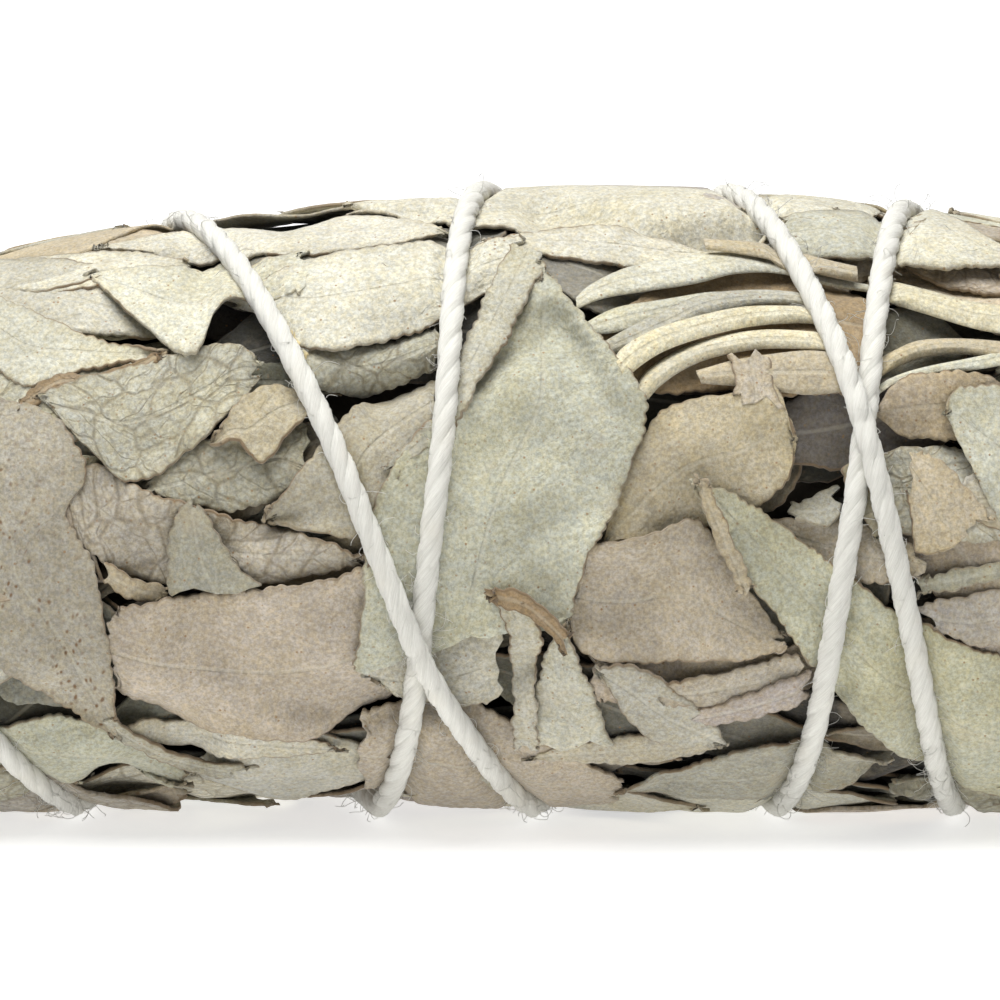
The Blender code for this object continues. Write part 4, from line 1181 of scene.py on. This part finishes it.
# Between the stems both ends are full of more of the bunch's leaves: small ones that end in points at
# the tip end, and the cut edges of larger ones at the butt. They are packed in rings, facing outwards.
END_BLADES = 110
TIP_SPREAD, BUTT_SPREAD = 13.5, 15.6
GOLDEN_TURN = 2.39996
tip_filling, butt_filling = [], []
for k in range(END_BLADES):
    for filling, x_end, spread_to in (
        (tip_filling, TIP_X, TIP_SPREAD),
        (butt_filling, BUTT_X, BUTT_SPREAD),
    ):
        out = spread_to * math.sqrt((k + 0.5) / END_BLADES)
        around = GOLDEN_TURN * k + draw.uniform(-0.2, 0.2)
        y = out * math.cos(around)
        z = axis_height(x_end) + out * math.sin(around)
        nearest = min(math.hypot(y - stem_y, z - stem_z) for stem_y, stem_z in stem_places)
        turn = around + draw.normal(0, 0.5)
        wide, bow, shade = draw.uniform(1.3, 2.4), draw.uniform(0.1, 0.8), draw.uniform(0.6, 1.05)
        if filling is tip_filling and nearest > 1.0:
            ends = (TIP_X + 2.5, TIP_X - draw.uniform(2.5, 6.5))
            filling.append(blade_grid(y, z, turn, ends, wide, bow, draw, TIP_WIDTHS, shade))
        if filling is butt_filling and nearest > STEM_THICK / 2 + 0.7:
            ends = (BUTT_X - 2.0, BUTT_X + draw.uniform(0.6, 3.2))
            y_in, z_in = y - BLADE_OUT * math.cos(turn), z - BLADE_OUT * math.sin(turn)
            filling.append(blade_grid(y_in, z_in, turn, ends, wide, 0.2 * bow, draw, CUT_WIDTHS, shade))
for end_name, filling in (("tip_end_leaves", tip_filling), ("butt_end_leaves", butt_filling)):
    finish_leaf_piece(sheets_piece(end_name, filling, 0.25))

# The string is soft white cotton, three loosely laid plies, each of many fibres. It is pulled tight
# round the bunch, crosses itself, and is tied at the back of the butt with a small overhand knot.
PLY_RADIUS = 0.57
PLY_OFFSET = 0.18
PLY_PITCH = 6.4
PLY_SIDES = 10
TUCK_STEPS = 75
TUCK_DEPTH = 2.4
KNOT = (44.6, 150.0)
KNOT_TURNS = 1.9
KNOT_STEPS = 120
TAIL_STEPS = 70
TAILS = [
    [(44.8, 148.0), (40.5, 143.0), (36.0, 141.0), (32.0, 136.0)],
    [(44.2, 152.0), (42.0, 160.0), (37.5, 165.0), (34.5, 171.0)],
]
cotton, tree = new_paint("cotton_string")
ply_place = add(tree, "Attribute", attribute_name="ply_place").outputs["Vector"]
stretched = add(tree, "Mapping", {"Vector": ply_place, "Scale": (0.5, 6.0, 6.0)}).outputs[0]
fibre = noise(tree, stretched, 1.6, 4.0, 0.7)
slub = noise(tree, add(tree, "TexCoord").outputs["Object"], 260.0)
yarn = mix(tree, ramp(tree, fibre, 0.3, 0.7), (0.70, 0.685, 0.62, 1), (0.88, 0.87, 0.80, 1))
yarn = mix(tree, ramp(tree, slub, 0.5, 0.75, 0.0, 0.3), yarn, (0.78, 0.73, 0.60, 1))
yarn_bump = add(tree, "Bump", {"Height": fibre, "Distance": 0.1 * MM, "Strength": 0.9})
finish_surface(tree, yarn, yarn_bump, {"Roughness": 0.95, "Sheen Weight": 0.4, "Specular IOR Level": 0.2})


def tube_grid(points, radius, sides, twist=0.0, offset=0.0):
    """A tube along points, or one ply of a string that winds round them."""
    steps = np.linalg.norm(np.diff(points, axis=0), axis=1)
    along = np.concatenate([[0], np.cumsum(steps)])
    way = np.gradient(points, axis=0)
    way /= np.linalg.norm(way, axis=1)[:, None]
    out = points - np.stack([points[:, 0], 0 * along, axis_height(points[:, 0])], axis=-1)
    out -= way * (out * way).sum(axis=1)[:, None]
    out /= np.linalg.norm(out, axis=1)[:, None]
    across = np.cross(way, out)
    lay_turn = twist + 2 * math.pi * along / PLY_PITCH
    centre = points + offset * (np.cos(lay_turn)[:, None] * out + np.sin(lay_turn)[:, None] * across)
    turn = np.linspace(0, 2 * math.pi, sides + 1)[None, :, None]
    spun = turn + lay_turn[:, None, None] * (offset > 0)
    swell = radius * (1 + 0.06 * np.sin(along * 1.3 + twist))[:, None, None]
    ring = centre[:, None] + swell * (np.cos(spun) * out[:, None] + np.sin(spun) * across[:, None])
    flat = np.broadcast_to(along[:, None] + 7 * twist, ring.shape[:2])
    round_y, round_z = np.cos(turn[..., 0]) + 0 * flat, np.sin(turn[..., 0]) + 0 * flat
    return {"points": ring, "ply_place": np.stack([flat, round_y, round_z], axis=-1)}


def string_points(x, angle, radius):
    points = place(x, angle, radius)
    points[:, 2] = np.maximum(points[:, 2], STRING_LOWEST + 0.05)
    return points


def finish_string(piece):
    piece.data.materials.append(cotton)
    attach(piece, "root")
    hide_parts("string")


def plied(points):
    twists = [0.0, 2 * math.pi / 3, 4 * math.pi / 3]
    return [tube_grid(points, PLY_RADIUS, PLY_SIDES, twist, PLY_OFFSET) for twist in twists]


tucked_x, tucked_angle, tucked_radius = route_back
end_steps = np.clip(1 - (len(tucked_x) - np.arange(len(tucked_x))) / TUCK_STEPS, 0, 1)
tucked_radius = tucked_radius - TUCK_DEPTH * end_steps**2
paths = {
    "string_out": string_points(*route_out),
    "string_back": string_points(tucked_x, tucked_angle, tucked_radius),
}
knot_x, knot_angle = KNOT
knot_turn = np.linspace(0, 2 * math.pi * KNOT_TURNS, KNOT_STEPS)
loop_x = knot_x + 1.3 * np.cos(knot_turn) + 0.2 * np.sin(2 * knot_turn)
loop_angle = knot_angle + np.degrees(1.5 * np.sin(knot_turn) / GIRTH)
loop_radius = girth(knot_x) + 0.9 + 0.7 * np.sin(knot_turn * 1.5)
paths["knot"] = string_points(loop_x, loop_angle, loop_radius)
for k, tail in enumerate(TAILS, start=1):
    steps = np.linspace(0, len(tail) - 1, TAIL_STEPS)
    tail_x = between([stop[0] for stop in tail], steps)
    tail_angle = between([stop[1] for stop in tail], steps)
    paths[f"tail_{k}"] = string_points(tail_x, tail_angle, girth(tail_x) + 1.5 - 0.25 * steps)
for path_name, points in paths.items():
    finish_string(sheets_piece(path_name, plied(points), 0, closed_tubes=True))

# The nap of the string: loose cotton fibres that stand off it and curl. Every third one grows in one of
# the tufts where the string has been rubbed.
FIBRES = 3300
FIBRE_RADIUS = 0.02
FIBRE_LONGEST = 2.4
FIBRE_STEPS = 8
RUBBED_PLACES = 60
fuzz = []
route = np.concatenate([paths["string_out"], paths["string_back"]])
tufts = draw.integers(0, len(route), RUBBED_PLACES)
for k in range(FIBRES):
    at = draw.integers(0, len(route))
    if k % 3 == 0:
        at = int(np.clip(tufts[k % RUBBED_PLACES] + draw.normal(0, 6), 0, len(route) - 1))
    start = route[at]
    along_string = route[min(at + 1, len(route) - 1)] - route[max(at - 1, 0)]
    along_string = along_string / max(np.linalg.norm(along_string), 1e-6)
    middle = np.array([start[0], 0.0, axis_height(start[0])])
    away_from = (start - middle) / np.linalg.norm(start - middle)
    sideways = np.cross(along_string, away_from) * draw.choice([-1, 1])
    heading = sideways + 0.25 * away_from + draw.normal(0, 0.35, 3)
    heading /= np.linalg.norm(heading)
    curl_axis = draw.normal(0, 1, 3)
    length = min(draw.gamma(2.2, 0.55), FIBRE_LONGEST)
    fibre_points = [start + 0.35 * sideways + 0.3 * away_from]
    for _ in range(FIBRE_STEPS):
        heading = heading + 0.35 * length * np.cross(curl_axis, heading) * 0.4 + draw.normal(0, 0.14, 3)
        sunk = np.dot(fibre_points[-1] - start, away_from)
        heading = heading - away_from * 0.35 * max(sunk - 0.6, 0.0)
        heading /= np.linalg.norm(heading)
        fibre_points.append(fibre_points[-1] + heading * length / FIBRE_STEPS)
    fibre_points = np.array(fibre_points)
    fibre_points[:, 2] = np.maximum(fibre_points[:, 2], 0.1)
    fuzz.append(tube_grid(fibre_points, FIBRE_RADIUS, 3))
finish_string(sheets_piece("string_nap", fuzz, 0, closed_tubes=True))
